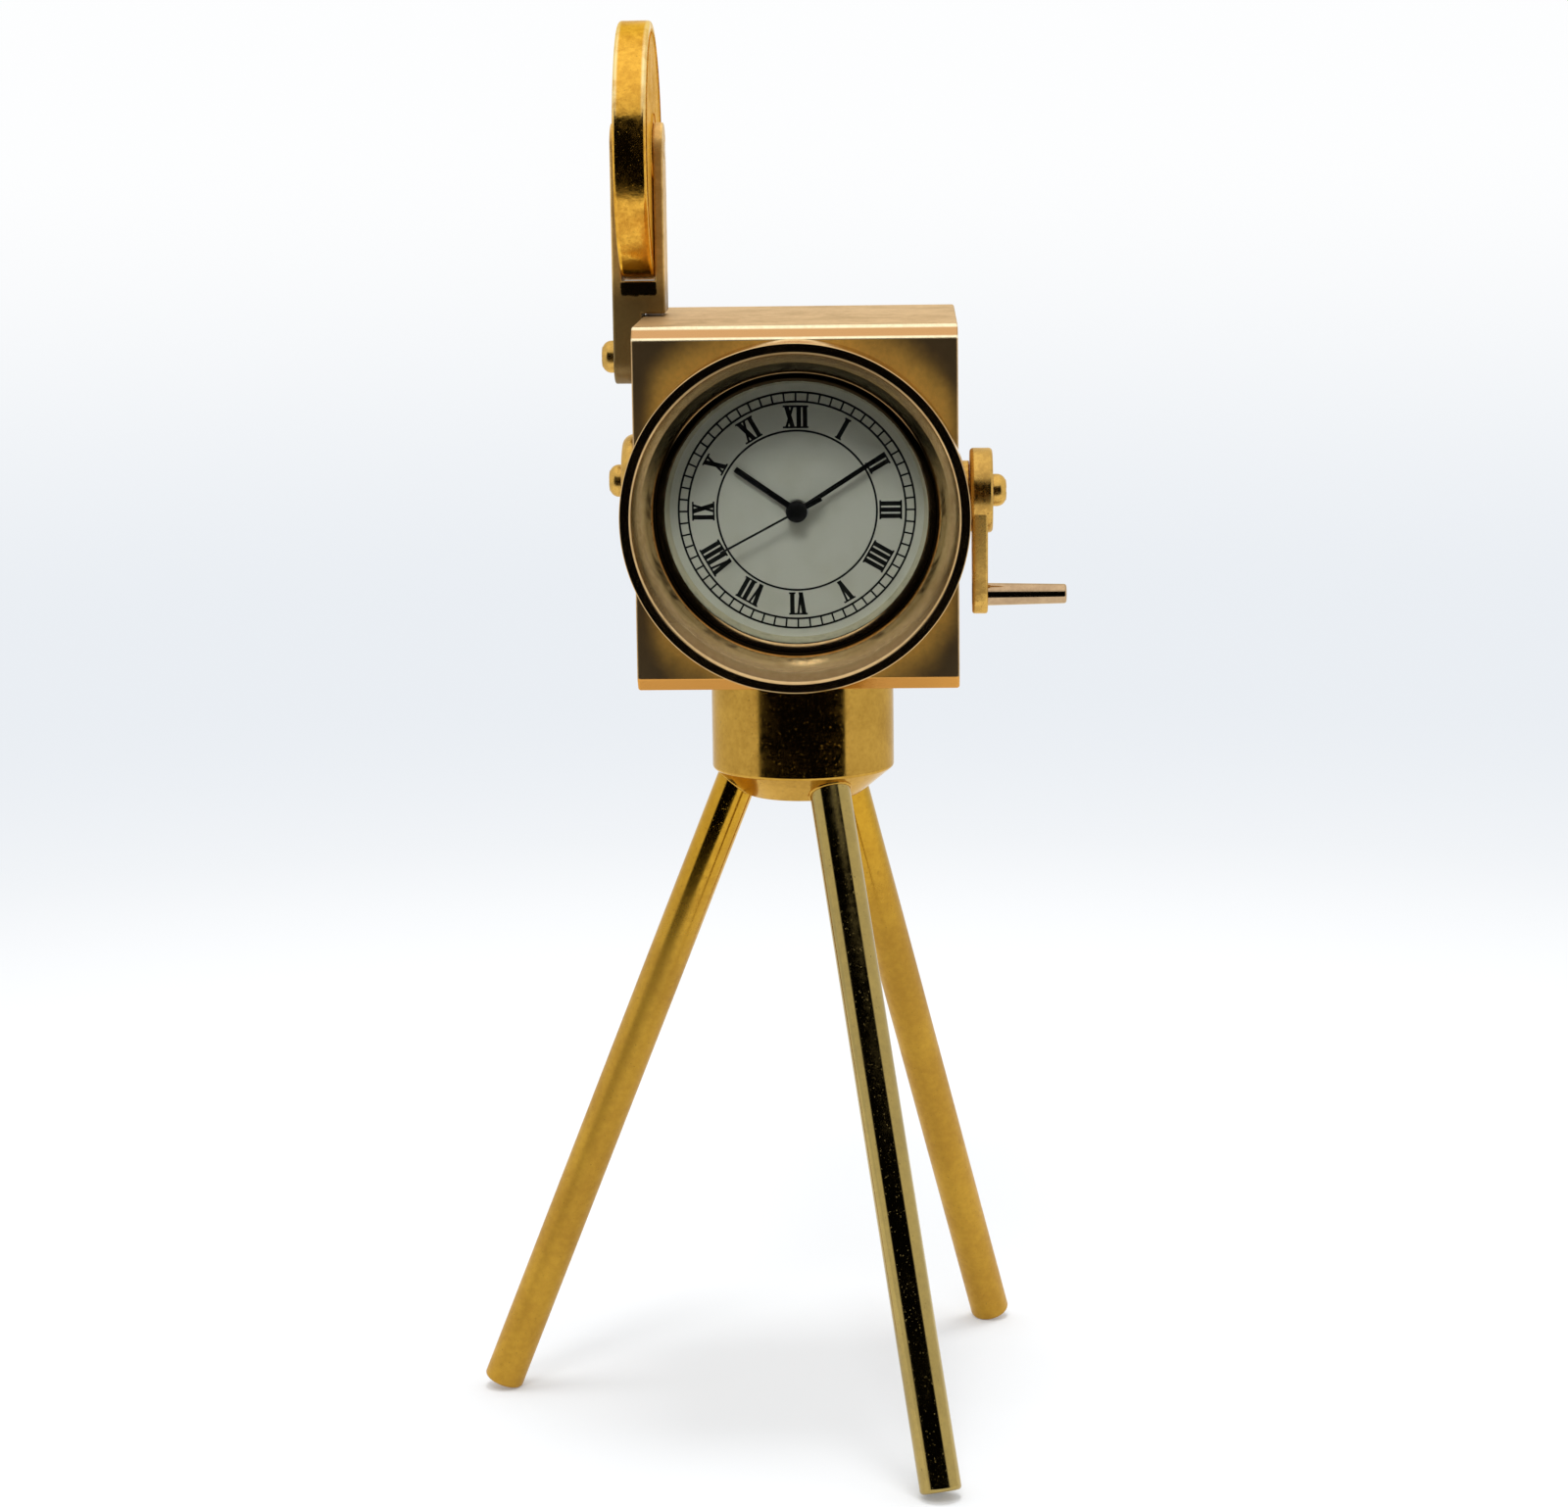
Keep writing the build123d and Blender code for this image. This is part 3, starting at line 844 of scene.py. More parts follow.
@dataclass(frozen=True)
class SatinGold:
    """Satin gold of the case, with a painted glow round its bezel and painted shade towards its
    corners.

    Lengths are in millimetres: half the width, the middle and half of the height, the front's y,
    the bevel, and the height and radius of the bezel. The painted glow and the painted shade along
    the sides are bands between two distances past the bezel and past the sides, the latter with its
    greatest share. The painted highlights on the upper bevel's edges lie between two distances past
    the bevel's foot and short of its head.
    """

    name: str
    tint: Color
    # painted glow round the bezel
    glow: Color
    # brown of the painted shade on the front, and of the stains in the clouds all over
    stain_and_shade: Color
    # painted reflection colour of the upper bevel
    slope: Color
    # painted reflection colour of the lower bevel
    under: Color
    # painted highlight along the upper bevel's edges
    painted_highlight: Color
    gloss: Pair
    half_width: float = 12.05
    middle: float = 72.5
    half_height: float = 13.6
    front: float = -11.0
    bevel: float = 0.95
    bezel: Pair = (72.25, 12.95)
    glow_band: Pair = (4.2, 0.8)
    side_band: Triple = (-1.8, 0.1, 0.95)
    side_shift: float = 0.5
    edge: Color = (0.95, 0.84, 0.62)
    metal: float = 0.72
    front_metal: float = 0.52
    slope_gloss: float = 0.32
    cloud: float = 5.0
    grains: Pair = (0.5, 0.1)
    drift: Pair = (3.0, 2.0)
    front_skin: Pair = (0.06, 0.01)
    slope_soft: Pair = (0.1, 0.12)
    highlight_low: Pair = (0.2, 0.08)
    highlight_high: Pair = (0.3, 0.16)
    wave: float = 1.4
    wave_depth: float = 0.008
    grain_depth: float = 0.004

    def material(self) -> bpy.types.Material:
        """Metal with clouds and a fine grain, smoother on its bevels; the front and bevels carry
        painted light.

        Returns:
            The material.
        """
        g = Graph(self.name)
        place = g.coords()
        x, y, z = g.xyz(place)
        clouds = g.remap(g.noise(place, self.cloud, detail=5, rough=0.6, twist=0.8), 0.36, 0.7)
        mottle = g.remap(g.noise(place, self.grains[0], detail=4, rough=0.65), 0.3, 0.72)
        grain = g.noise(place, self.grains[1], rough=0.6)
        shade = g.plus(g.times(clouds, 0.6), g.times(mottle, 0.4))
        ahead = g.span(y, *(self.front + past for past in self.front_skin))
        # the front's colour is painted light, put in place of the tint
        colour = g.blend(ahead, self.tint, self.front_colour(g, x, z))
        # the same brown stains the clouds all over
        colour = g.blend(g.times(shade, 0.4), colour, self.stain_and_shade)
        # painted reflection: the upper and lower bevels each get their own colour
        slope, upper, line = self.bevels(g, y, z)
        colour = g.blend(slope, colour, g.blend(upper, self.under, self.slope))
        # painted highlights along the upper bevel's two edges
        worn_and_painted = g.times(line, g.remap(mottle, 0.0, 1.0, 1.0, 0.85))
        colour = g.blend(worn_and_painted, colour, self.painted_highlight)
        uneven = g.plus(g.times(shade, 0.6), g.times(grain, 0.4))
        rough = g.remap(uneven, 0.2, 0.8, *self.gloss)
        rough = g.less(rough, g.times(slope, self.slope_gloss))
        flat_metal = g.remap(ahead, 0.0, 1.0, self.metal, self.front_metal)
        waves = g.times(g.noise(place, self.wave, detail=2), self.wave_depth)
        waves = g.plus(waves, g.times(grain, self.grain_depth))
        g.set(
            Base_Color=colour, Metallic=g.math("MAXIMUM", slope, flat_metal),
            Specular_Tint=self.edge, Roughness=rough, Normal=g.bump(waves),
        )
        return g.material

    def front_colour(self, g: Graph, x: Socket, z: Socket) -> Socket:
        """Colour of the front, all painted light: a glow near the bezel, shade further off and at
        the sides.

        Args:
            g: the material's graph.
            x: coordinate across.
            z: coordinate up.

        Returns:
            The colour.
        """
        size, reach = self.drift
        drift = g.times(g.noise(g.coords(), size, rough=0.6), reach * MM)
        out = g.plus(g.apart(x, 0.0, z, self.bezel[0]), drift)
        near = g.span(out, *(self.bezel[1] + past for past in self.glow_band))
        face = g.blend(near, self.stain_and_shade, self.glow)
        start, end, share = self.side_band
        across = g.off(x, self.side_shift)
        side = g.span(across, self.half_width + start, self.half_width + end, 0.0, share)
        return g.blend(side, face, self.stain_and_shade)

    def bevels(self, g: Graph, y: Socket, z: Socket) -> tuple[Socket, Socket, Socket]:
        """Masks of the front's bevels, of the upper half, and of the upper bevel's two painted
        highlights.

        Args:
            g: the material's graph.
            y: coordinate along the depth.
            z: coordinate up.

        Returns:
            The three masks.
        """
        back, foot = self.front + self.bevel, self.half_height - self.bevel
        rise = g.off(z, self.middle)
        behind, below = self.slope_soft
        slope = g.times(g.span(y, back + behind, back), g.span(rise, foot - below, foot))
        upper = g.math("GREATER_THAN", z, self.middle * MM)
        low = g.span(rise, *(foot + past for past in self.highlight_low))
        high = g.span(rise, *(self.half_height - short for short in self.highlight_high))
        return slope, upper, g.times(slope, g.math("MAXIMUM", low, high), upper)


@dataclass(frozen=True)
class BrightMetal:
    """Plain bright metal with fine turning lines and light handling marks; sizes in millimetres."""

    name: str
    tint: Color
    gloss: Pair
    dull: float = 0.72
    dull_share: float = 0.7
    mark: float = 0.8
    line: float = 0.12
    line_depth: float = 0.0015
    stretch: Triple = (1, 8, 1)

    def material(self) -> bpy.types.Material:
        """Metal with two sizes of noise in its colour and roughness.

        Returns:
            The material.
        """
        g = Graph(self.name)
        marks = g.noise(g.coords(), self.mark, detail=4, rough=0.6)
        lines = g.noise(g.coords(self.stretch), self.line, detail=2)
        share = g.remap(marks, 0.45, 0.75, 0.0, self.dull_share)
        g.set(
            Base_Color=g.blend(share, self.tint, dimmed(self.tint, self.dull)), Metallic=1.0,
            Roughness=g.remap(marks, 0.3, 0.7, *self.gloss), Normal=g.bump(lines, self.line_depth),
        )
        return g.material


@dataclass(frozen=True)
class Lacquer:
    """Smooth paint or ink with faint clouds and a slight orange peel; sizes in millimetres."""

    name: str
    tint: Color
    worn_and_painted: Color
    gloss: Pair
    shine: float = 0.5
    cloud: float = 2.5
    peel: float = 0.12
    peel_depth: float = 0.0015

    def material(self) -> bpy.types.Material:
        """Paint with faint clouds in its colour and roughness and a fine peel in its surface.

        Returns:
            The material.
        """
        g = Graph(self.name)
        place = g.coords()
        clouds = g.noise(place, self.cloud, detail=4, rough=0.6)
        peel = g.noise(place, self.peel, detail=2)
        g.set(
            Base_Color=g.blend(g.remap(clouds, 0.35, 0.75), self.tint, self.worn_and_painted),
            Roughness=g.remap(clouds, 0.3, 0.7, *self.gloss), Specular_IOR_Level=self.shine,
            Normal=g.bump(peel, self.peel_depth),
        )
        return g.material


@dataclass(frozen=True)
class Moulding:
    """Moulded rubber or plastic with soft clouds and a fine grain; sizes in millimetres."""

    name: str
    tint: Color
    gloss: Pair
    shade: float = 0.8
    cloud: float = 1.8
    grain: float = 0.08
    grain_depth: float = 0.004

    def material(self) -> bpy.types.Material:
        """Plastic with a fine noise grain in its surface and soft clouds in its colour.

        Returns:
            The material.
        """
        g = Graph(self.name)
        place = g.coords()
        clouds = g.remap(g.noise(place, self.cloud, detail=4, rough=0.6), 0.4, 0.7)
        grain = g.noise(place, self.grain, rough=0.6)
        g.set(
            Base_Color=g.blend(clouds, self.tint, dimmed(self.tint, self.shade)),
            Roughness=g.remap(grain, 0.3, 0.7, *self.gloss), Normal=g.bump(grain, self.grain_depth),
        )
        return g.material


@dataclass(frozen=True)
class ClearCrystal:
    """Mineral crystal with faint smears on its face; sizes in millimetres."""

    name: str
    tint: Color
    index: float = 1.46
    smear: float = 2.2
    haze: float = 0.03
    stretch: Triple = (1, 1, 0.5)

    def material(self) -> bpy.types.Material:
        """Glass whose roughness rises a little where noise smears it, and which lets lamps through.

        Returns:
            The material.
        """
        g = Graph(self.name)
        smears = g.noise(g.coords(self.stretch), self.smear, rough=0.6, twist=1.0)
        g.set(
            Base_Color=self.tint, Transmission_Weight=1.0, IOR=self.index,
            Roughness=g.remap(smears, 0.55, 0.8, 0.0, self.haze),
        )
        clear = g.node("ShaderNodeBsdfTransparent", {"Color": self.tint}).outputs[0]
        g.cover(g.node("ShaderNodeLightPath").outputs["Is Shadow Ray"], clear)
        return g.material


class Finishes:
    """Every finish of the clock, each made once."""

    REEL_FACE = TurnedFace(3.8, 98.7, 9.25)
    # the reel's grazing tint, and the colour of the painted highlight on its rim's edges
    REEL_EDGE_AND_HIGHLIGHT = (1.0, 0.82, 0.42)
    REEL_MIDDLE = -12.27
    ROWS = (
        GoldPlate(
            "polished_gold", (0.61, 0.345, 0.058), (0.45, 0.24, 0.036), (0.09, 0.18),
            specks=0.75, ripple=0.003,
        ),
        GoldPlate(
            "leg_gold", (0.61, 0.338, 0.03), (0.49, 0.252, 0.021), (0.06, 0.14),
            cloud=5.0, grain=0.5, ripple=0.003, edge=(1.0, 0.96, 0.86),
            wear_and_painted_light=(LowSatin(33.0, 48.0),),
        ),
        # painted light: the front leg alone gets a less orange copy of the leg plating that all
        # legs share
        GoldPlate(
            "front_leg_lit_gold", (0.45, 0.326, 0.1), (0.36, 0.262, 0.086), (0.06, 0.14),
            cloud=5.0, grain=0.5, ripple=0.003, edge=(1.0, 0.97, 0.9),
        ),
        # turned face, and a painted highlight on the rim's edges
        GoldPlate(
            "reel_gold", (0.9, 0.49, 0.065), (0.58, 0.275, 0.032), (0.13, 0.26),
            cloud=2.0, grain=0.45, specks=0.4, ripple=0.02, edge=REEL_EDGE_AND_HIGHLIGHT,
            wear_and_painted_light=(REEL_FACE, PaintedEdgeHighlight(REEL_FACE, REEL_MIDDLE, 1.25, REEL_EDGE_AND_HIGHLIGHT)),
        ),
        GoldPlate(
            "arm_gold", (0.92, 0.6, 0.2), (0.6, 0.36, 0.1), (0.34, 0.5),
            cloud=2.5, grain=0.5, specks=0.6, ripple=0.008, pits=0.008, metal=0.5,
            # painted shade and a painted black shadow where the arm lies under the reel
            wear_and_painted_light=(PaintedLowShade(87.0, 90.0), PaintedBlackShadow(REEL_MIDDLE, 1.5, 87.5, 88.76)),
        ),
        GoldPlate(
            "crank_gold", (0.72, 0.43, 0.098), (0.51, 0.3, 0.074), (0.2, 0.36),
            cloud=2.0, ripple=0.008, pits=0.008,
        ),
        GoldPlate(
            "bezel_gold", (0.7, 0.48, 0.23), (0.55, 0.35, 0.15), (0.13, 0.2),
            cloud=4.0, grain=0.5, specks=0.4, ripple=0.0015, pits=0.002, wear_and_painted_light=(HoodShade(),),
        ),
        GoldPlate(
            "rose_gold", (0.58, 0.4, 0.23), (0.42, 0.28, 0.16), (0.06, 0.12),
            cloud=2.0, specks=0.2, ripple=0.002, pits=0.002,
        ),
        # the case's front and bevels carry painted light: a glow, shade, bevel reflections and
        # highlights
        SatinGold(
            "satin_gold", tint=(0.74, 0.48, 0.22), glow=(0.98, 0.56, 0.11),
            stain_and_shade=(0.115, 0.074, 0.032), slope=(0.58, 0.32, 0.13), under=(0.64, 0.3, 0.065),
            painted_highlight=(1.0, 0.86, 0.56), gloss=(0.44, 0.56),
        ),
        BrightMetal("pale_gold", (0.86, 0.8, 0.62), (0.06, 0.14)),
        BrightMetal("steel", (0.66, 0.66, 0.65), (0.2, 0.34)),
        Lacquer("cream_dial", (0.75, 0.74, 0.62), (0.69, 0.68, 0.55), (0.35, 0.45)),
        Lacquer("dial_ink", (0.008, 0.008, 0.007), (0.015, 0.014, 0.012), (0.4, 0.55), 0.25),
        Lacquer("black_enamel", (0.005, 0.005, 0.005), (0.01, 0.01, 0.009), (0.25, 0.4), 0.2),
        ClearCrystal("clear_crystal", (0.97, 0.985, 0.975)),
        Moulding("black_rubber", (0.022, 0.022, 0.022), (0.6, 0.8)),
        Moulding("white_plastic", (0.72, 0.72, 0.68), (0.4, 0.6)),
        Moulding("black_plastic", (0.03, 0.03, 0.032), (0.35, 0.55)),
    )

    def __init__(self) -> None:
        """Starts with no finish made."""
        self.specs = {row.name: row for row in self.ROWS}
        self.made: dict[str, bpy.types.Material] = {}

    def get(self, name: str) -> bpy.types.Material:
        """The material of that name, made at its first use.

        Args:
            name: of the finish.

        Returns:
            The material.
        """
        if name not in self.made:
            self.made[name] = self.specs[name].material()
        return self.made[name]


FINISHES = Finishes()


def make_piece(
    name: str, shape: Shape, body: Body, nodes: Sequence[str], slot: str,
    finish: str | None = None,
) -> None:
    """Puts a shape into the scene in place of CAD nodes, smooth but for its sharp creases.

    Args:
        name: the piece's name.
        shape: its skin, in millimetres.
        body: the body that it moves with.
        nodes: CAD nodes that it stands for.
        slot: the record's material slot.
        finish: name of the finish, if it isn't the slot's own.
    """
    mesh = bpy.data.meshes.new(name)
    faces = [row for rows in shape.faces for row in rows.tolist()]
    mesh.from_pydata((shape.points * MM).tolist(), [], faces)
    work = bmesh.new()
    work.from_mesh(mesh)
    bmesh.ops.remove_doubles(work, verts=work.verts, dist=WELD)
    bmesh.ops.recalc_face_normals(work, faces=work.faces)
    work.to_mesh(mesh)
    work.free()
    mesh.shade_smooth()
    mesh.set_sharp_from_angle(angle=CREASE)
    piece = bpy.data.objects.new(name, mesh)
    bpy.context.scene.collection.objects.link(piece)
    mesh.materials.append(FINISHES.get(finish or slot))
    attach(piece, body.value)
    if nodes:
        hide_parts(*nodes)
    count = len(mesh.vertices), len(mesh.polygons)
    LOG.info("%s: %d points, %d faces, on %s", name, *count, body.value)


def dress(node: str, finish: str) -> None:
    """Gives a CAD node that keeps its own mesh a finish.

    Args:
        node: the CAD node.
        finish: name of the finish.
    """
    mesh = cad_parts[node].data
    mesh.materials.clear()
    mesh.materials.append(FINISHES.get(finish))
    LOG.info("%s: CAD mesh in %s", node, finish)


@dataclass
class Tripod:
    """Coned hub on three straight legs."""

    hub_edge: float = 0.22
    cone_edge: float = 0.12
    cone_height: float = 2.1
    cone_face: float = 4.5
    cone_round: float = 0.3
    screw_bore: float = 2.2
    screw_seat: float = 1.5
    bore_edge: float = 0.08
    leg_radius: float = 1.575
    leg_lean: float = 21.8
    leg_top: Pair = (3.58, 54.3)
    foot_round: float = 0.3
    bead: float = 0.14
    bead_search: float = 8.0
    bead_samples: int = 4001
    bead_points: int = 120
    bead_ring: int = 12
    leg_start: float = 1.0
    leg_rings: int = 12

    TURNS = {"front_leg": -66.0, "rear_leg": 54.0, "left_leg": 174.0}

    def build(self) -> None:
        """Makes the hub and its legs, and dresses the screw and washer under it."""
        box = NodeBox.of("tripod_hub")
        radius, low, high = box.size[0] / 2, box.low[2], box.high[2]
        axes = Axes.facing((0, 0, 0), (0, 0, 1), (0, 1, 0))
        bore, seat = self.screw_bore, low + self.screw_seat
        hub = lathe(
            axes,
            [
                (0, seat), (bore, seat), (bore, low, self.bore_edge),
                (self.cone_face, low, self.cone_edge),
                (radius, low + self.cone_height, self.cone_round),
                (radius, high, self.hub_edge), (0, high),
            ],
            segments=256,
        )
        for name in self.TURNS:
            hub += self.socket_bead(name, radius, low)
        make_piece("hub_turning", hub, Body.TRIPOD, ["tripod_hub"], "polished_gold")
        for name in self.TURNS:
            self.leg(name)
        for name in ("pan_washer", "pan_screw"):
            dress(name, "steel")

    def leg_line(self, name: str) -> tuple[Axes, float]:
        """Axes of a leg at the middle of its foot, with z up the leg, and the leg's length.

        Args:
            name: the leg's CAD node.

        Returns:
            The axes and the length.
        """
        lean, turn = np.radians(self.leg_lean), np.radians(self.TURNS[name])
        top_r, top_z = self.leg_top
        flat = self.leg_radius - self.foot_round
        foot_z = flat * np.sin(lean) + self.foot_round * (1 - np.cos(lean))
        reach = top_r + (top_z - foot_z) * np.tan(lean)
        out = np.array([np.cos(turn), np.sin(turn), 0])
        foot = reach * out + [0, 0, foot_z]
        rise = -np.sin(lean) * out + [0, 0, np.cos(lean)]
        return Axes.facing(foot, rise, (0, 1, 0)), (top_z - foot_z) / np.cos(lean)

    def leg(self, name: str) -> None:
        """Makes one leg: a rod from its socket down to its square-cut foot.

        Args:
            name: the leg's CAD node.
        """
        axes, length = self.leg_line(name)
        radius = self.leg_radius
        stations = [(radius, s) for s in np.linspace(self.leg_start, length, self.leg_rings)]
        line = [(0, 0), (radius, 0, self.foot_round), *stations, (0, length)]
        # the front leg's own copy of the leg plating is painted light
        finish = "front_leg_lit_gold" if name == "front_leg" else "leg_gold"
        rod = lathe(axes, line, segments=96)
        make_piece(f"{name}_rod", rod, Body.TRIPOD, [name], "polished_gold", finish)

    def socket_bead(self, name: str, radius: float, low: float) -> Shape:
        """Thin raised rim where a leg enters the hub.

        On each line along the leg's skin, the rim's middle is the first place that is above the
        hub's flat and within the cone's radius there, which grows evenly with height. A small
        circle across the skin is carried along these places.

        Args:
            name: the leg's CAD node.
            radius: of the hub.
            low: height of the hub's underside.

        Returns:
            The rim's closed skin.
        """
        axes, length = self.leg_line(name)
        angle = TURN * np.arange(self.bead_points) / self.bead_points
        up = np.linspace(length - self.bead_search, length, self.bead_samples)
        around = self.leg_radius * np.stack([np.cos(angle), np.sin(angle)], -1)
        flat = np.broadcast_to(around[:, None], (len(angle), len(up), 2))
        level = np.broadcast_to(up[None, :, None], (*flat.shape[:2], 1))
        skin = axes.place(np.concatenate([flat, level], -1))
        height = skin[..., 2] - low
        grown = np.clip(height / self.cone_height, 0, 1)
        reach = self.cone_face + (radius - self.cone_face) * grown
        inside = (height > 0) & (np.hypot(skin[..., 0], skin[..., 1]) < reach)
        station = up[np.argmax(inside, 1)]
        turn = TURN * np.arange(self.bead_ring + 1) / self.bead_ring
        out = 1 + self.bead * np.cos(turn)[:, None, None] / self.leg_radius
        along = (station + self.bead * np.sin(turn)[:, None])[..., None]
        rings = np.concatenate([out * around, along], -1)
        return loft(axes.place(rings), Close.OPEN, Close.OPEN)


@dataclass
class CameraCase:
    """Bored block, bevelled along its top and bottom and nearly sharp round its sides."""

    bore: float = 10.85
    back_wall: float = 2.2
    edge: float = 0.95
    bevel_round: float = 0.2
    bevel_run: float = 0.5
    side_edge: float = 0.2
    bore_edge: float = 0.1

    def build(self) -> None:
        """Makes the case as one skin.

        Rings run from the bore's floor along its wall to the front, then from the bore's circle to
        the front's rectangle, over the front edges, along the sides and over the back edges to the
        back face. At a depth d the rectangle's width is drawn in by r - sqrt(r^2 - (r - d)^2), and
        its height by a bevel of 45 degrees with rounded ends. Each circle's points lie in the
        directions of the rectangle's points from the bore's middle.
        """
        box, bezel = NodeBox.of("camera_case"), NodeBox.of("bezel_ring")
        width, depth, height = box.size
        axes = Axes.facing((0, box.low[1], box.middle[2]), (0, -1, 0))
        half = np.array([width / 2, height / 2])
        bore_middle = np.array([0, bezel.middle[2] - box.middle[2]])
        reach, soft, run = self.edge, self.bevel_round, self.edge + self.bevel_run
        corners = [(run, 0), (reach, 0, soft), (0, reach, soft), (0, run)]
        bevel = rounded(corners, False, 9)[2:-2]

        def frame_ring(below: float, station: float, extra: float = 0.0) -> Array:
            """Rectangle of the block at a depth below its front or back face.

            Args:
                below: the depth.
                station: where the ring lies along the axes.
                extra: further inset.

            Returns:
                The ring's points.
            """
            past = max(self.side_edge - below, 0)
            side = self.side_edge - np.sqrt(self.side_edge**2 - past**2)
            inset = np.array([side, np.interp(below, bevel[:, 1], bevel[:, 0])]) + extra
            flat, _ = box_outline(-half + inset, half - inset, self.side_edge, 10)
            flat = self.spread(flat)
            return np.column_stack([flat, np.full(len(flat), station)])

        rim = frame_ring(0.0, 0.0, TUCK)
        out = rim[:, :2] - bore_middle
        out /= np.linalg.norm(out, axis=1, keepdims=True)

        def bore_ring(radius: float, station: float) -> Array:
            """Circle in the directions of the front's rectangle, at a station."""
            return np.column_stack([bore_middle + radius * out, np.full(len(out), station)])

        floor = self.back_wall - depth
        mouth = bore_ring(self.bore + self.bore_edge, 0)
        small = self.side_edge * (1 - np.cos(np.linspace(0, TURN / 4, 6)))
        fall = np.unique(np.concatenate([small, bevel[:, 1]]).round(5))
        rings = [bore_ring(self.bore, floor), bore_ring(self.bore, -self.bore_edge), mouth]
        rings += [0.5 * (mouth + rim), rim]
        rings += [frame_ring(d, -d) for d in fall]
        rings += [frame_ring(depth / 2, -depth / 2)]
        rings += [frame_ring(d, d - depth) for d in fall[::-1]]
        rings.append(frame_ring(0.0, -depth, TUCK))
        skin = loft(axes.place(np.stack(rings)), Close.POLE, Close.FACE)
        make_piece("case_block", skin, Body.CAMERA, ["camera_case"], "satin_gold")

    @staticmethod
    def spread(flat: Array, extra: int = 10) -> Array:
        """Adds evenly spaced points on the straight sides between a rectangle's four arcs.

        Args:
            flat: points of the rectangle, arc after arc.
            extra: points to add on each side.

        Returns:
            The points with the added ones in order.
        """
        arc = flat.reshape(4, -1, 2)
        share = np.linspace(0, 1, extra + 2)[1:-1, None]
        side = arc[:, -1:, :] * (1 - share) + np.roll(arc, -1, 0)[:, :1, :] * share
        return np.concatenate([arc, side], 1).reshape(-1, 2)


@dataclass
class ReelArm:
    """Forked arm over the case's top edge, with the film reel on its pin."""

    slot_gap: float = 0.02
    slot_round: float = 0.05
    floor: float = 2.55
    step_gap: float = 0.2
    rim: float = 0.2
    corner: float = 0.16
    reel_rim: float = 0.9
    reel_recess: float = 0.04
    reel_hub: float = 2.8
    reel_edge: float = 0.28
    hub_round: float = 0.1
    recess_round: float = 0.08
    pin: float = 0.8
    pin_gap: float = 0.04
    pin_proud: float = 0.05
    pin_round: float = 0.12

    def build(self) -> None:
        """Makes the arm, the reel and the pin."""
        gold, reel = "polished_gold", NodeBox.of("film_reel")
        fork = self.fork(NodeBox.of("reel_arm"), NodeBox.of("camera_case"), reel)
        make_piece("arm_fork", fork, Body.CAMERA, ["reel_arm"], gold, "arm_gold")
        axes = Axes.facing(reel.middle, (-1, 0, 0))
        disc = self.disc(axes, reel.size[2] / 2, reel.size[0] / 2)
        make_piece("reel_disc", disc, Body.REEL, ["film_reel"], gold, "reel_gold")
        half, soft = NodeBox.of("reel_pin").size[0] / 2 + self.pin_proud, self.pin_round
        line = [(0, -half), (self.pin, -half, soft), (self.pin, half, soft), (0, half)]
        pin = lathe(axes, line, segments=96)
        make_piece("reel_axle", pin, Body.CAMERA, ["reel_pin"], gold)

    def fork(self, arm: NodeBox, case: NodeBox, reel: NodeBox) -> Shape:
        """Skin of the arm: its stepped and slotted outline carried across its width.

        Across the width the outline's top and bottom follow the round ends, z = middle plus or
        minus the root of half-width squared less y squared. The slot's floor follows the reel's
        circle, and near the sides the whole outline moves in by a quarter round.

        Args:
            arm: box of the arm.
            case: box of the case.
            reel: box of the reel.

        Returns:
            The closed skin.
        """
        half = arm.size[1] / 2
        left, right = arm.low[0], arm.high[0]
        inner_left, inner_right = reel.low[0] - self.slot_gap, reel.high[0] + self.slot_gap
        wall, seat = case.low[0], case.high[2] + self.step_gap
        y = half * np.sin(np.linspace(-np.pi / 2, np.pi / 2, 61))
        swell = np.sqrt(np.maximum(half * half - y * y, 0)) - half
        past = np.clip((np.abs(y) - half + self.rim) / self.rim, 0, 1)
        inset = self.rim * (1 - np.sqrt(1 - past * past))
        hollow = reel.middle[2] - case.high[2] - self.floor
        slot_floors = case.high[2] + self.floor + hollow - np.sqrt(hollow**2 - y**2)

        def outline(bulge: float, move: float, slot_floor: float) -> Array:
            """Stepped and slotted outline at one place across the width.

            Args:
                bulge: how far the round ends reach there.
                move: inset of the whole outline.
                slot_floor: height of the slot's floor.

            Returns:
                Points, (n, 2).
            """
            top, low = arm.high[2] + bulge - move, arm.low[2] - bulge + move
            deep, step = slot_floor - move, seat + move
            soft, tight = self.corner, self.slot_round
            corners = [
                (left + move, low, soft), (wall - move, low, soft), (wall - move, step, tight),
                (right - move, step, soft), (right - move, top, soft),
                (inner_right + move, top, soft), (inner_right + move, deep, tight),
                (inner_left - move, deep, tight), (inner_left - move, top, soft),
                (left + move, top, soft),
            ]
            return rounded(corners, True)

        flat = np.stack([outline(*row) for row in zip(swell, inset, slot_floors)])
        across = np.broadcast_to((arm.middle[1] + y)[:, None], flat.shape[:2])
        rings = np.stack([flat[..., 0], across, flat[..., 1]], -1)
        return loft(rings, Close.FACE, Close.FACE)

    def disc(self, axes: Axes, radius: float, half: float) -> Shape:
        """Turned reel with a raised rim and hub on both faces.

        Args:
            axes: place of the reel's middle.
            radius: of the reel.
            half: half its thickness.

        Returns:
            The closed skin.
        """
        rim, floor, bore = radius - self.reel_rim, half - self.reel_recess, self.pin + self.pin_gap
        hub, soft = self.reel_hub, self.recess_round
        face = [
            (bore, half), (hub, half, self.hub_round), (hub, floor, soft), (rim, floor, soft),
            (rim, half, soft),
        ]
        back = [(r, -station, *softness) for r, station, *softness in face]
        edge = [(radius, -half, self.reel_edge), (radius, half, self.reel_edge)]
        return lathe(axes, [*back, *edge, *reversed(face)], True, 256)


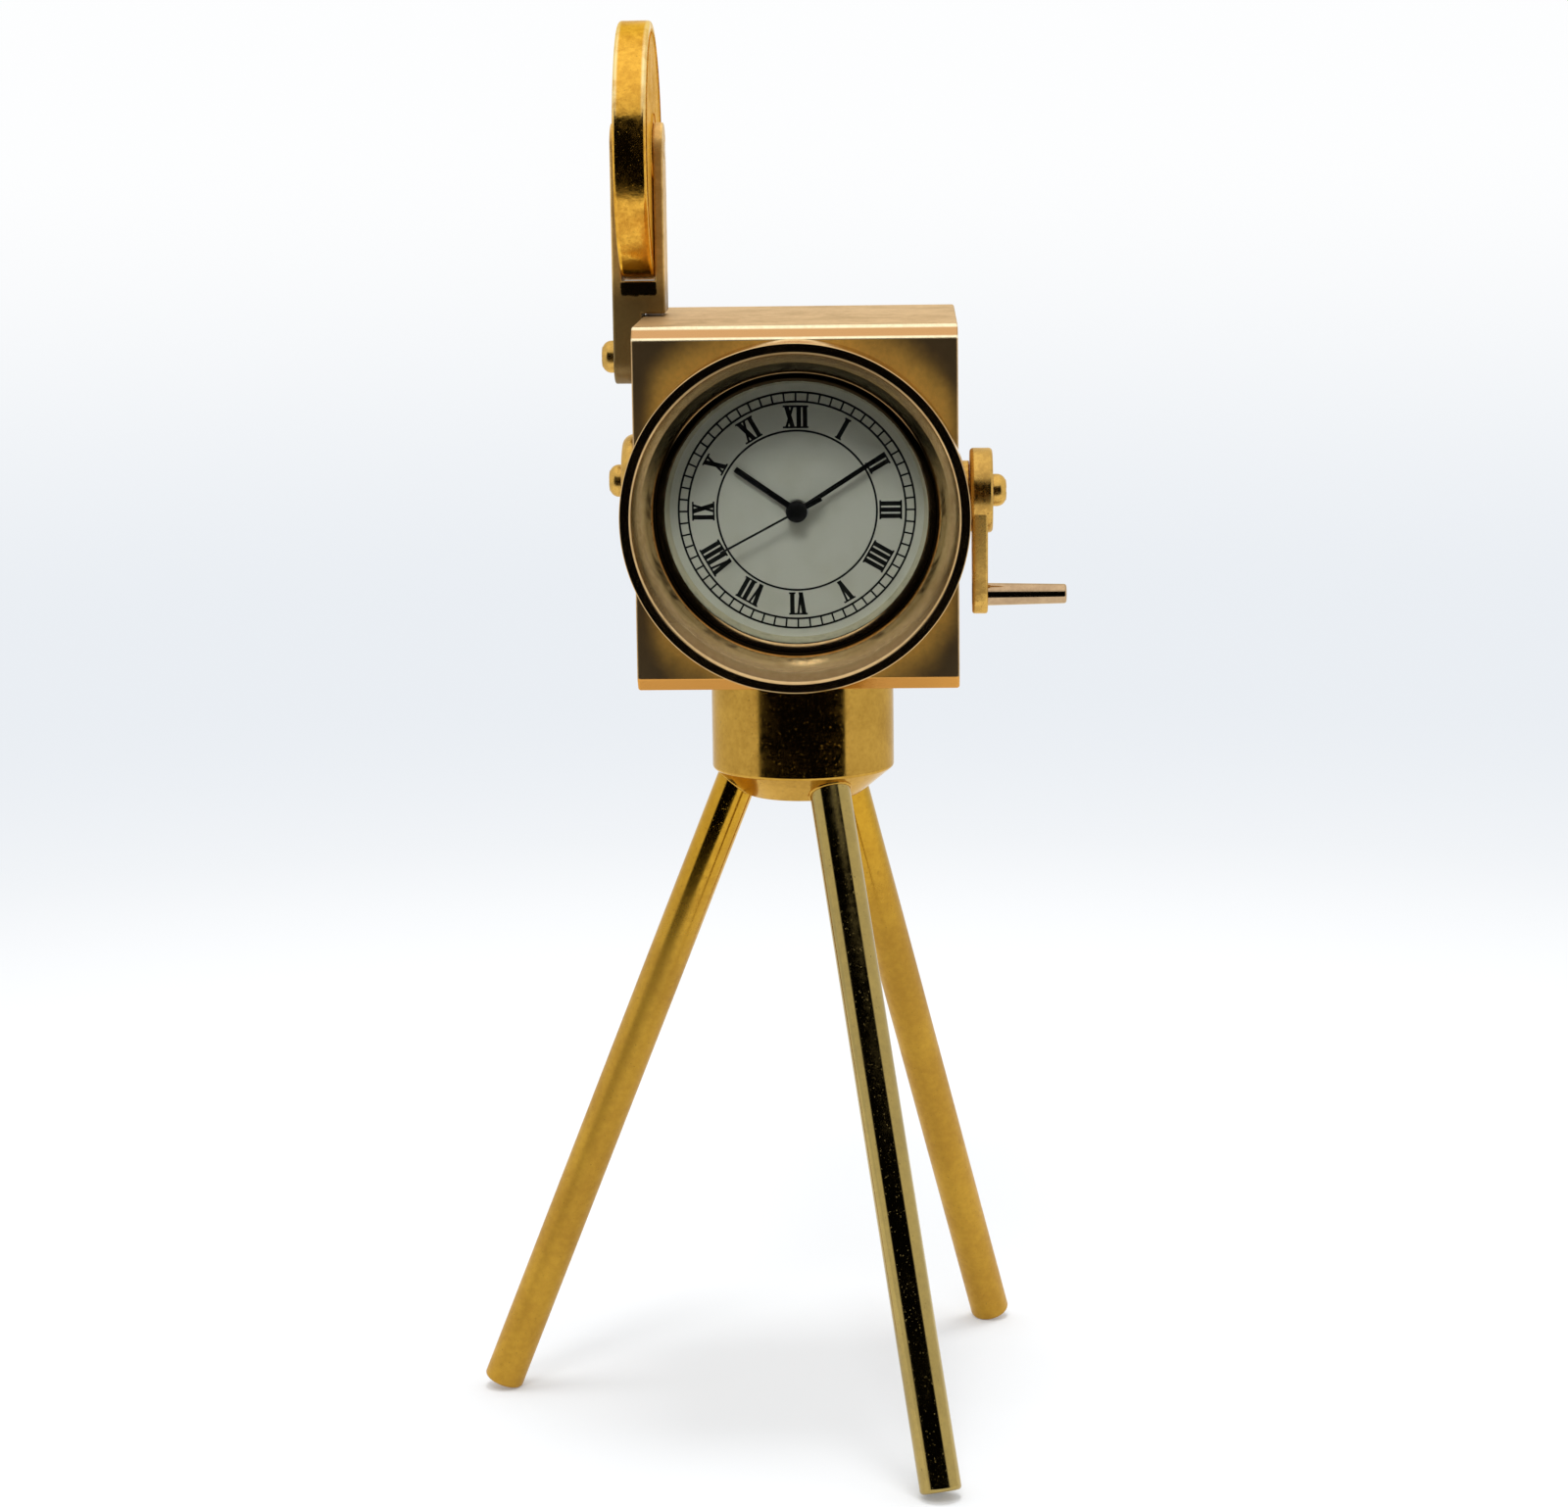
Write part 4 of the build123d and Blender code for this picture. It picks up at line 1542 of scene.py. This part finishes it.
@dataclass(frozen=True)
class SideScrew:
    """Round screw head with a cross recess, on a shouldered stem.

    The recess is the length, width and depth of the cross. The thread and the shoulder are radius
    and length below the seat. The foot, the face and the rim start at shares of the head's radius.
    """

    seat: float = 1.05
    height: float = 0.99
    edge: float = 0.7
    recess: Triple = (1.3, 0.34, 0.45)
    slope: float = 0.07
    crown: float = 0.06
    face: float = 0.62
    rim: float = 0.64
    rim_drop: float = 0.2
    thread: Pair = (0.6, 3.0)
    shoulder: Pair = (0.8, 2.0)
    lap: float = 0.2
    foot: float = 0.5
    rings: int = 44
    points: int = 240

    def head(self, axes: Axes, radius: float) -> Shape:
        """Skin of the head.

        The face is a polar grid. Its height falls to the recess's floor where a point is inside
        either bar of the cross, by a smooth step of its distance from the bar's edge.

        Args:
            axes: place of the head's seat.
            radius: of the head.

        Returns:
            The closed head.
        """
        length, width, depth = self.recess
        inner, top = radius * self.foot, self.height
        side = [(inner, 0.0), (radius, 0.0), (radius, top, self.edge), (inner, top)]
        line = rounded(side, False, 12)
        disc = np.linspace(radius * self.face, TUCK, self.rings)
        rim = line[line[:, 0] > radius * self.rim]
        crown = top + self.crown * (1 - (disc / (radius * self.face)) ** 2)
        line = np.vstack([rim, np.stack([disc, crown], -1)])
        angle = TURN * np.arange(self.points) / self.points
        u, v = line[:, :1] * np.cos(angle), line[:, :1] * np.sin(angle)
        flat = np.minimum(length / 2 - np.abs(u), width / 2 - np.abs(v))
        upright = np.minimum(width / 2 - np.abs(u), length / 2 - np.abs(v))
        share = np.clip(np.maximum(flat, upright) / self.slope + 0.5, 0, 1)
        on_face = np.arange(len(line))[:, None] >= len(rim) - 2
        on_face &= line[:, 1:] > top - self.rim_drop
        drop = np.where(on_face, depth * share * share * (3 - 2 * share), 0)
        rings = np.stack([u, v, line[:, 1:] - drop], -1)
        return loft(axes.place(rings), Close.FACE, Close.POLE)

    def stem(self, axes: Axes) -> Shape:
        """Plain stem with a shoulder, up into the head.

        Args:
            axes: place of the head's seat.

        Returns:
            The closed stem.
        """
        (thin, end), (thick, step) = self.thread, self.shoulder
        line = [
            (0, -end), (thin, -end), (thin, -step), (thick, -step), (thick, self.lap), (0, self.lap)
        ]
        return lathe(axes, line, segments=64)

    def build(self, node: str, way: Sequence[float]) -> None:
        """Makes one side screw.

        Args:
            node: the screw's CAD node.
            way: direction out of the case.
        """
        box = NodeBox.of(node)
        top = box.high[0] if way[0] > 0 else box.low[0]
        axes = Axes.facing((top - way[0] * self.seat, box.middle[1], box.middle[2]), way)
        skin = self.head(axes, box.size[1] / 2) + self.stem(axes)
        make_piece(f"{node}_head", skin, Body.CAMERA, [node], "polished_gold", "crank_gold")


@dataclass
class SideControls:
    """Crank with its handle on the right, round knob on the left, and the screws of the sides."""

    boss_round: float = 0.3
    arm_rim: float = 0.2
    arm_thick: float = 1.2
    arm_inset: float = 0.15
    grip_tip: float = 0.75
    grip_round: float = 0.2
    collar_bore: float = 0.8
    collar_round: float = 0.1
    knob_bore: float = 0.84
    knob_back: float = 0.12
    knob_round: float = 0.9

    def build(self) -> None:
        """Makes the crank, the handle, the spacer, the knob and three screw heads."""
        self.crank()
        self.knob()
        screw = SideScrew()
        screw.build("crank_screw", (1, 0, 0))
        screw.build("knob_screw", (-1, 0, 0))
        screw.build("arm_screw", (-1, 0, 0))

    def crank(self) -> None:
        """Makes the crank, a drum with a drop-shaped plate, and its handle and collar."""
        crank, handle = NodeBox.of("crank"), NodeBox.of("crank_handle")
        spacer = NodeBox.of("crank_spacer")
        gold, finish, axis = "polished_gold", "crank_gold", spacer.middle
        axes = Axes.facing((0, axis[1], axis[2]), (1, 0, 0))
        boss, soft = crank.high[2] - axis[2], self.boss_round
        inner, out = crank.low[0], crank.high[0]
        drum = lathe(axes, [(0, inner), (boss, inner, soft), (boss, out, soft), (0, out)])
        root, tip = crank.size[1] / 2 - self.arm_inset, handle.middle[2] - crank.low[2]
        drop = drop_outline(root, tip, axis[2] - handle.middle[2])
        start, end = handle.low[0], handle.high[0]
        arm = plate(axes, drop, start, start + self.arm_thick, self.arm_rim)
        make_piece("crank_casting", drum + arm, Body.CRANK, ["crank"], gold, finish)
        radius = handle.size[1] / 2
        stick = [
            (0, start), (radius, start), (radius, start + self.arm_thick),
            (self.grip_tip, end, self.grip_round), (0, end),
        ]
        grip = lathe(Axes.facing((0, axis[1], handle.middle[2]), (1, 0, 0)), stick)
        make_piece("crank_grip", grip, Body.CRANK, ["crank_handle"], "rose_gold")
        bore, ring, low, high = self.collar_bore, spacer.size[1] / 2, spacer.low[0], spacer.high[0]
        line = [(bore, low), (ring, low), (ring, high, self.collar_round), (bore, high)]
        collar = lathe(axes, line, True)
        make_piece("crank_collar", collar, Body.CAMERA, ["crank_spacer"], gold, finish)

    def knob(self) -> None:
        """Makes the round-edged knob."""
        box = NodeBox.of("side_knob")
        axes = Axes.facing((box.high[0], box.middle[1], box.middle[2]), (-1, 0, 0))
        bore, radius, thick = self.knob_bore, box.size[1] / 2, box.size[0]
        line = [
            (bore, 0), (radius, 0, self.knob_back), (radius, thick, self.knob_round), (bore, thick)
        ]
        knob = lathe(axes, line, True)
        make_piece("knob_turning", knob, Body.KNOB, ["side_knob"], "polished_gold", "crank_gold")


@dataclass
class ClockInsert:
    """Flared bezel, crystal, dial and the parts behind them that slide out of the case.

    The lip is its width and depth, and the crown its width and radius.
    """

    rim_flat: float = 0.6
    rim_round: float = 0.03
    lip: Pair = (0.1, 0.045)
    chamfer: float = 0.06
    foot_round: float = 0.1
    throat_round: float = 0.1
    crown: Pair = (0.5, 0.9)
    flare: float = 0.05
    land: float = 0.15
    ring_width: float = 0.7
    crystal_lip: float = 0.2
    crystal_round: float = 0.03
    rehaut_wall: float = 0.5
    tube_wall: float = 0.5
    dial_hole: float = 0.87
    skirt: float = 1.0
    skirt_radius: float = 10.8

    HIDDEN = {
        "grip_ring": "black_rubber", "movement_holder": "white_plastic",
        "movement": "white_plastic", "button_cell": "steel", "cell_strap": "steel",
        "back_cover": "white_plastic", "setting_knob": "black_plastic",
        "hour_pipe": "pale_gold", "minute_pipe": "pale_gold", "second_arbor": "steel",
    }

    def build(self) -> None:
        """Makes the turned pieces of the insert and dresses those hidden inside."""
        front, bezel = NodeBox.of("camera_case").low[1], NodeBox.of("bezel_ring")
        glass, tube = NodeBox.of("crystal"), NodeBox.of("insert_tube")
        axes = Axes.facing((0, front, bezel.middle[2]), (0, -1, 0))
        wall, pane = tube.size[0] / 2, glass.size[0] / 2
        window = pane - self.crystal_lip
        line = self.hood(bezel.size[0] / 2, front - bezel.low[1], window, wall)
        hood = lathe(axes, line, True, 256)
        make_piece("bezel_hood", hood, Body.INSERT, ["bezel_ring"], "polished_gold", "bezel_gold")
        self.ring(axes, front, "insert_tube", "insert_sleeve", wall, wall - self.tube_wall, "steel")
        rehaut = NodeBox.of("rehaut_ring")
        outer, back, head = rehaut.size[0] / 2, front - rehaut.high[1], front - rehaut.low[1]
        cone = [(outer - self.rehaut_wall, back), (outer, back), (outer, head), (window, head)]
        turning = lathe(axes, cone, True, 256)
        make_piece("rehaut_turning", turning, Body.INSERT, ["rehaut_ring"], "pale_gold")
        face = NodeBox.of("dial").size[0] / 2
        self.ring(axes, front, "dial", "dial_disc", face, self.dial_hole, "cream_dial")
        back, soft = front - glass.high[1], self.crystal_round
        line = [(0, back), (pane, back, soft), (pane, 0, soft), (0, 0)]
        crystal = lathe(axes, line, segments=192)
        make_piece("crystal_pane", crystal, Body.INSERT, ["crystal"], "clear_crystal")
        for node, finish in self.HIDDEN.items():
            dress(node, finish)

    def hood(self, radius: float, depth: float, window: float, wall: float) -> list[Corner]:
        """Line of the bezel, from the crystal over its mouth to its skirt.

        The ring over the crystal falls towards the window by the squared distance from its flat
        over twice the crown's radius. From its throat the radius grows to the mouth by the flare's
        share of the depth and by the depth squared.

        Args:
            radius: of the bezel.
            depth: from the case's front to its own.
            window: radius of the opening over the crystal.
            wall: outer radius of the tube.

        Returns:
            The closed line's corners.
        """
        (lip_wide, lip_deep), (crown_wide, crown_radius) = self.lip, self.crown
        mouth = radius - self.chamfer - self.rim_flat - lip_wide
        throat, soft, skirt = window + self.ring_width, self.rim_round, self.skirt_radius
        climb = np.linspace(0, 1, 25)
        long, wide = depth - lip_deep - self.land, mouth - throat
        trumpet = throat + self.flare * long * climb + (wide - self.flare * long) * climb**2
        crown = np.linspace(0, crown_wide, 10)
        fall = (crown_wide - crown) ** 2 / (2 * crown_radius)
        return [
            (window, 0), *zip(window + crown, self.land - fall),
            (throat, self.land, self.throat_round),
            *zip(trumpet[2:], (self.land + long * climb)[2:]), (mouth + lip_wide, depth, soft),
            (radius - self.chamfer, depth, soft), (radius, depth - self.chamfer, soft),
            (radius, 0, self.foot_round),
            (skirt, 0), (skirt, -self.skirt), (wall, -self.skirt), (wall, 0),
        ]

    @staticmethod
    def ring(
        axes: Axes, front: float, node: str, name: str, outer: float, inner: float, slot: str
    ) -> None:
        """Makes a plain ring of the insert, as long as its CAD node.

        Args:
            axes: the insert's axes.
            front: the case's front, in the clock's frame.
            node: the CAD node.
            name: the piece's name.
            outer: outer radius.
            inner: inner radius.
            slot: material slot.
        """
        box = NodeBox.of(node)
        back, head = front - box.high[1], front - box.low[1]
        line = [(inner, back), (outer, back), (outer, head), (inner, head)]
        make_piece(name, lathe(axes, line, True, 192), Body.INSERT, [node], slot)


@dataclass
class DialPrint:
    """Black print of the dial: minute track, inner circle and Roman numerals."""

    thick: float = 0.012
    track: Pair = (8.13, 8.83)
    inner: float = 5.97
    line: float = 0.15
    tick: float = 0.13
    foot: float = 6.15
    tall: float = 1.69
    stem: float = 0.33
    hair: float = 0.13
    serif: float = 0.5
    end_inset: float = 0.2
    v_foot: float = 0.04
    v_thin: float = 1.3
    x_thin: float = 1.4
    x_thick: float = 1.05

    NUMERALS = ("XII", "I", "II", "III", "IIII", "V", "VI", "VII", "VIII", "IX", "X", "XI")
    WIDTHS = {"I": 0.47, "V": 0.86, "X": 0.9}

    def build(self) -> None:
        """Makes the print as thin raised ink on the dial."""
        dial = NodeBox.of("dial")
        axes = Axes.facing((0, dial.low[1], dial.middle[2]), (0, -1, 0))
        low, high = self.track
        ink = self.circle(axes, low) + self.circle(axes, high) + self.circle(axes, self.inner)
        step = TURN * np.arange(60) / 60
        bar = np.array([[-1, 0], [1, 0], [1, 1], [-1, 1]]) * [self.tick / 2, high - low]
        ink += prisms(axes, self.turned(bar[None] + [0, low], step), 0, self.thick)
        for hour, numeral in enumerate(self.NUMERALS):
            strokes = self.numeral(numeral) + [0, self.foot]
            way = np.array([TURN * hour / 12])
            quads = np.concatenate([self.turned(q[None], way) for q in strokes])
            ink += prisms(axes, quads, 0, self.thick)
        make_piece("dial_print", ink, Body.INSERT, [], "black_enamel", "dial_ink")

    def circle(self, axes: Axes, radius: float) -> Shape:
        """Printed circle: a flat ring of the line's width."""
        low, high = radius - self.line / 2, radius + self.line / 2
        return lathe(axes, [(low, 0), (high, 0), (high, self.thick), (low, self.thick)], True, 240)

    @staticmethod
    def turned(quads: Array, angles: Array) -> Array:
        """Quads turned clockwise from twelve by each angle, with its cosine and sine.

        Args:
            quads: (1, 4, 2).
            angles: (n,), in radians.

        Returns:
            The turned quads, (n, 4, 2).
        """
        c, s = np.cos(angles)[:, None], np.sin(angles)[:, None]
        x, y = quads[..., 0], quads[..., 1]
        return np.stack([x * c + y * s, y * c - x * s], -1)

    def numeral(self, text: str) -> Array:
        """Strokes of a Roman numeral, side by side about zero.

        Args:
            text: letters I, V and X.

        Returns:
            Quads, (m, 4, 2), with the feet at zero.
        """
        widths = np.array([self.WIDTHS[letter] for letter in text])
        middles = np.cumsum(widths) - widths - widths.sum() / 2 + widths / 2
        return np.concatenate([self.letter(t) + [m, 0] for t, m in zip(text, middles)])

    def letter(self, letter: str) -> Array:
        """Strokes of one letter about zero: thick and thin bars with hairline serifs.

        Args:
            letter: I, V or X.

        Returns:
            Quads, (m, 4, 2), with the feet at zero.
        """
        tall, stem, hair = self.tall, self.stem, self.hair
        head = tall - hair

        def bar(x0: float, x1: float, width: float) -> list[Corner]:
            """Slanting bar from a foot at x0 to a head at x1."""
            w = width / 2
            return [(x0 - w, 0), (x0 + w, 0), (x1 + w, tall), (x1 - w, tall)]

        def hairline(x: float, y: float) -> list[Corner]:
            """Serif centred on x, with its lower edge at y."""
            w = self.serif / 2
            return [(x - w, y), (x + w, y), (x + w, y + hair), (x - w, y + hair)]

        reach = self.WIDTHS[letter] / 2 - self.end_inset
        if letter == "I":
            return np.array([bar(0, 0, stem), hairline(0, 0), hairline(0, head)])
        if letter == "V":
            thick = bar(self.v_foot, -reach, stem)
            thin = bar(self.v_foot, reach, hair * self.v_thin)
            return np.array([thick, thin, hairline(-reach, head), hairline(reach, head)])
        thick = bar(reach, -reach, stem * self.x_thick)
        thin = bar(-reach, reach, hair * self.x_thin)
        ends = [hairline(s * reach, y) for s in (-1, 1) for y in (0, head)]
        return np.array([thick, thin, *ends])


@dataclass(frozen=True)
class Hand:
    """One baton hand.

    The length is from the axis, the angle is in degrees clockwise from twelve, and the tail is its
    length and width.
    """

    node: str
    name: str
    body: Body
    length: float
    width: float
    angle: float
    tail: Pair | None = None
    eye: float = 0.75
    rim: float = 0.035
    corner: float = 0.045

    def build(self, middle: float) -> None:
        """Makes the hand at the height of its CAD node: a flat baton, a round eye, perhaps a tail.

        Args:
            middle: height of the dial's middle.
        """
        box = NodeBox.of(self.node)
        turn = np.radians(self.angle)
        up = (np.sin(turn), 0, np.cos(turn))
        axes = Axes.facing((0, box.high[1], middle), (0, -1, 0), up)
        half, count = self.width / 2, 64
        eye = arcs([(0, 0, self.eye, 0, TURN * (count - 1) / count)], count)
        outlines = [box_outline((-half, 0), (half, self.length), self.corner), eye]
        if self.tail:
            long, half = self.tail[0], self.tail[1] / 2
            outlines.append(box_outline((-half, -long), (half, 0), self.corner))
        plates = [plate(axes, outline, 0, box.size[1], self.rim) for outline in outlines]
        skin = reduce(Shape.__add__, plates)
        make_piece(self.name, skin, self.body, [self.node], "black_enamel")


@dataclass
class Hands:
    """Three black baton hands and the cap over their middle."""

    hour: Hand = Hand("hour_hand", "hour_baton", Body.HOUR, 5.55, 0.44, 304.7)
    minute: Hand = Hand("minute_hand", "minute_baton", Body.MINUTE, 7.85, 0.36, 57.4)
    second: Hand = Hand("second_hand", "second_needle", Body.SECOND, 6.5, 0.16, 242.0, (2.1, 0.36))

    def build(self) -> None:
        """Makes the hands, and the cap as half an ellipse turned about its axis."""
        middle = NodeBox.of("dial").middle[2]
        for hand in (self.hour, self.minute, self.second):
            hand.build(middle)
        cap = NodeBox.of("hand_cap")
        radius, rise = cap.size[0] / 2, cap.size[1]
        angle = np.linspace(0, TURN / 4, 14)[1:-1]
        dome = [(0, 0), (radius, 0), *zip(radius * np.cos(angle), rise * np.sin(angle)), (0, rise)]
        axes = Axes.facing((0, cap.high[1], middle), (0, -1, 0))
        skin = lathe(axes, dome, segments=96)
        make_piece("cap_dome", skin, Body.SECOND, ["hand_cap"], "black_enamel")


@dataclass(frozen=True)
class Lamp:
    """Soft round lamp, placed in metres, that looks at the clock but doesn't show in its metal."""

    name: str
    place: Triple
    size: float
    power: float
    color: Color = (0.97, 0.985, 1.0)
    aim: Triple = (0.0, 0.0, 0.06)

    def build(self) -> None:
        """Hangs the lamp."""
        data = bpy.data.lights.new(self.name, "AREA")
        data.shape = "DISK"
        data.size = self.size
        data.energy = self.power
        data.color = self.color
        lamp = bpy.data.objects.new(self.name, data)
        bpy.context.scene.collection.objects.link(lamp)
        spot = np.array(self.place)
        axes = Axes.facing(spot, spot - np.array(self.aim), (0, 1, 0))
        lamp.matrix_world = axes.matrix()
        lamp.visible_glossy = False


@dataclass
class Studio:
    """Camera, white floor and soft tent of light with a dark open front.

    The camera's place and sensor are in millimetres, its focal length, picture and aim in pixels,
    the floor's lengths in metres and angles in degrees. The far tones run over the inverse of the
    distance plus an offset.
    """

    focal: float = 4000.0
    frame_width: float = 1600.0
    sensor: float = 36.0
    clip: Pair = (0.01, 50.0)
    azimuth: float = 1.6
    distance: float = 300.3
    height: float = 105.2
    pitch: float = 10.0
    roll: float = 0.75
    aim: float = 20.0
    floor_reach: float = 14.0
    paper: Color = (0.64, 0.645, 0.65)
    paper_front: Pair = (0.102, 0.124)
    paper_lift: float = 0.22
    paper_glow: Color = (0.96, 0.98, 1.0)
    table_side: float = 1.5
    table_fade: float = 0.02
    far_from: Pair = (0.09, 0.24)
    far_offset: float = 0.3
    far_near_band: Pair = (2.4, 1.5)
    far_high_band: Pair = (1.35, 0.15)
    far_grey: Color = (0.825, 0.858, 0.9)
    white: Color = (0.985, 0.99, 0.995)
    dark: Color = (0.002, 0.0018, 0.0016)
    walls: Color = (0.9, 0.91, 0.92)
    overhead: Color = (1.18, 1.18, 1.18)
    overhead_rise: Pair = (35.0, 65.0)
    opening_width: Pair = (51.0, 60.0)
    opening_top: Pair = (29.5, 36.0)

    LAMPS = (
        Lamp("ahead_lamp", (-0.05, -0.38, 0.55), 0.14, 0.75),
        Lamp("overhead_lamp", (0.03, -0.04, 0.9), 0.2, 2.4),
    )

    def build(self) -> None:
        """Makes the camera, the floor, the lamps and the world."""
        self.camera()
        self.floor()
        for lamp in self.LAMPS:
            lamp.build()
        self.world()
        bpy.context.scene.view_settings.view_transform = "Standard"

    def camera(self) -> None:
        """Sets the camera where the photograph was taken from."""
        data = bpy.data.cameras.new("photo_camera")
        data.sensor_fit = "HORIZONTAL"
        data.sensor_width = self.sensor
        data.lens = data.sensor_width * self.focal / self.frame_width
        data.clip_start, data.clip_end = self.clip
        camera = bpy.data.objects.new("photo_camera", data)
        bpy.context.scene.collection.objects.link(camera)
        bpy.context.scene.camera = camera
        azimuth, pitch, roll = np.radians([self.azimuth, self.pitch, self.roll])
        head = azimuth + np.arctan(self.aim / self.focal)
        back, across = self.distance * np.cos(azimuth), self.distance * np.sin(azimuth)
        spot = np.array([across, -back, self.height]) * MM
        level = np.array([-np.sin(head), np.cos(head), 0])
        ahead = level * np.cos(pitch) - [0, 0, np.sin(pitch)]
        side = np.array([np.cos(head), np.sin(head), 0])
        down = np.cross(ahead, side)
        tilted = np.cos(roll) * side + np.sin(roll) * down
        down = np.cos(roll) * down - np.sin(roll) * side
        camera.matrix_world = Axes(spot, tilted, -down, -ahead).matrix()

    def floor(self) -> None:
        """Lays white paper that ends a little way in front of the clock.

        Beyond the paper's front edge the table is dark to every ray but the camera's. Further off
        the paper shows as an even pale tone, so that no horizon shows.
        """
        mesh = bpy.data.meshes.new("studio_floor")
        square = np.array([[-1, -1, 0], [1, -1, 0], [1, 1, 0], [-1, 1, 0]]) * self.floor_reach
        mesh.from_pydata(square.tolist(), [], [(0, 1, 2, 3)])
        plane = bpy.data.objects.new("studio_floor", mesh)
        bpy.context.scene.collection.objects.link(plane)
        g = Graph("studio_paper")
        place = g.coords()
        spread = g.node("ShaderNodeVectorMath", {0: place}, operation="LENGTH").outputs["Value"]
        rays = g.node("ShaderNodeLightPath").outputs
        seen = rays["Is Camera Ray"]
        mirrored = g.math("MAXIMUM", rays["Is Glossy Ray"], rays["Is Transmission Ray"])
        x, y, _ = g.xyz(place)
        ahead = g.times(y, -1.0)
        beside = g.less(g.times(ahead, self.table_side), g.math("ABSOLUTE", x))
        beside = g.remap(beside, -self.table_fade, self.table_fade)
        front = g.times(g.remap(ahead, *self.paper_front), beside)
        table = g.times(front, g.less(1.0, seen))
        shown = g.times(g.math("MAXIMUM", seen, mirrored), g.less(1.0, table))
        g.set(
            Base_Color=g.blend(table, self.paper, self.dark), Roughness=0.9, Specular_IOR_Level=0.0,
            Emission_Color=self.paper_glow, Emission_Strength=g.times(shown, self.paper_lift),
        )
        rise = g.math("DIVIDE", 1.0, g.plus(spread, self.far_offset))
        band = g.less(g.remap(rise, *self.far_near_band), g.remap(rise, *self.far_high_band))
        tone = g.blend(band, self.white, self.far_grey)
        far = g.node("ShaderNodeEmission", {"Color": tone}).outputs[0]
        g.cover(g.times(shown, g.remap(spread, *self.far_from)), far)
        mesh.materials.append(g.material)

    def world(self) -> None:
        """Puts a white tent round the clock, brighter overhead, whose low front is open and dark.

        The camera itself sees plain white where nothing stands.
        """
        world = bpy.data.worlds.new("light_tent")
        bpy.context.scene.world = world
        world.use_nodes = True
        g = Nodes(world.node_tree)
        x, y, z = g.xyz(g.node("ShaderNodeTexCoord").outputs["Generated"])
        around = g.math("ABSOLUTE", g.math("ARCTAN2", x, g.times(y, -1.0)))
        rise = g.math("ARCSINE", z)
        opening = g.times(g.fade(around, self.opening_width), g.fade(rise, self.opening_top))
        tent = g.blend(g.fade(rise, self.overhead_rise), self.overhead, self.walls)
        tone = g.blend(opening, tent, self.dark)
        seen = g.node("ShaderNodeLightPath").outputs["Is Camera Ray"]
        back = g.node("ShaderNodeBackground", {"Color": g.blend(seen, tone, self.white)})
        g.node("ShaderNodeOutputWorld", {"Surface": back.outputs[0]})


def main() -> None:
    """Builds every sub-assembly and the studio, in order."""
    logging.basicConfig(level=logging.INFO, format="%(message)s")
    order = (Studio, Tripod, CameraCase, ReelArm, SideControls, ClockInsert, DialPrint, Hands)
    for assembly in order:
        assembly().build()


if __name__ == "__main__":
    main()
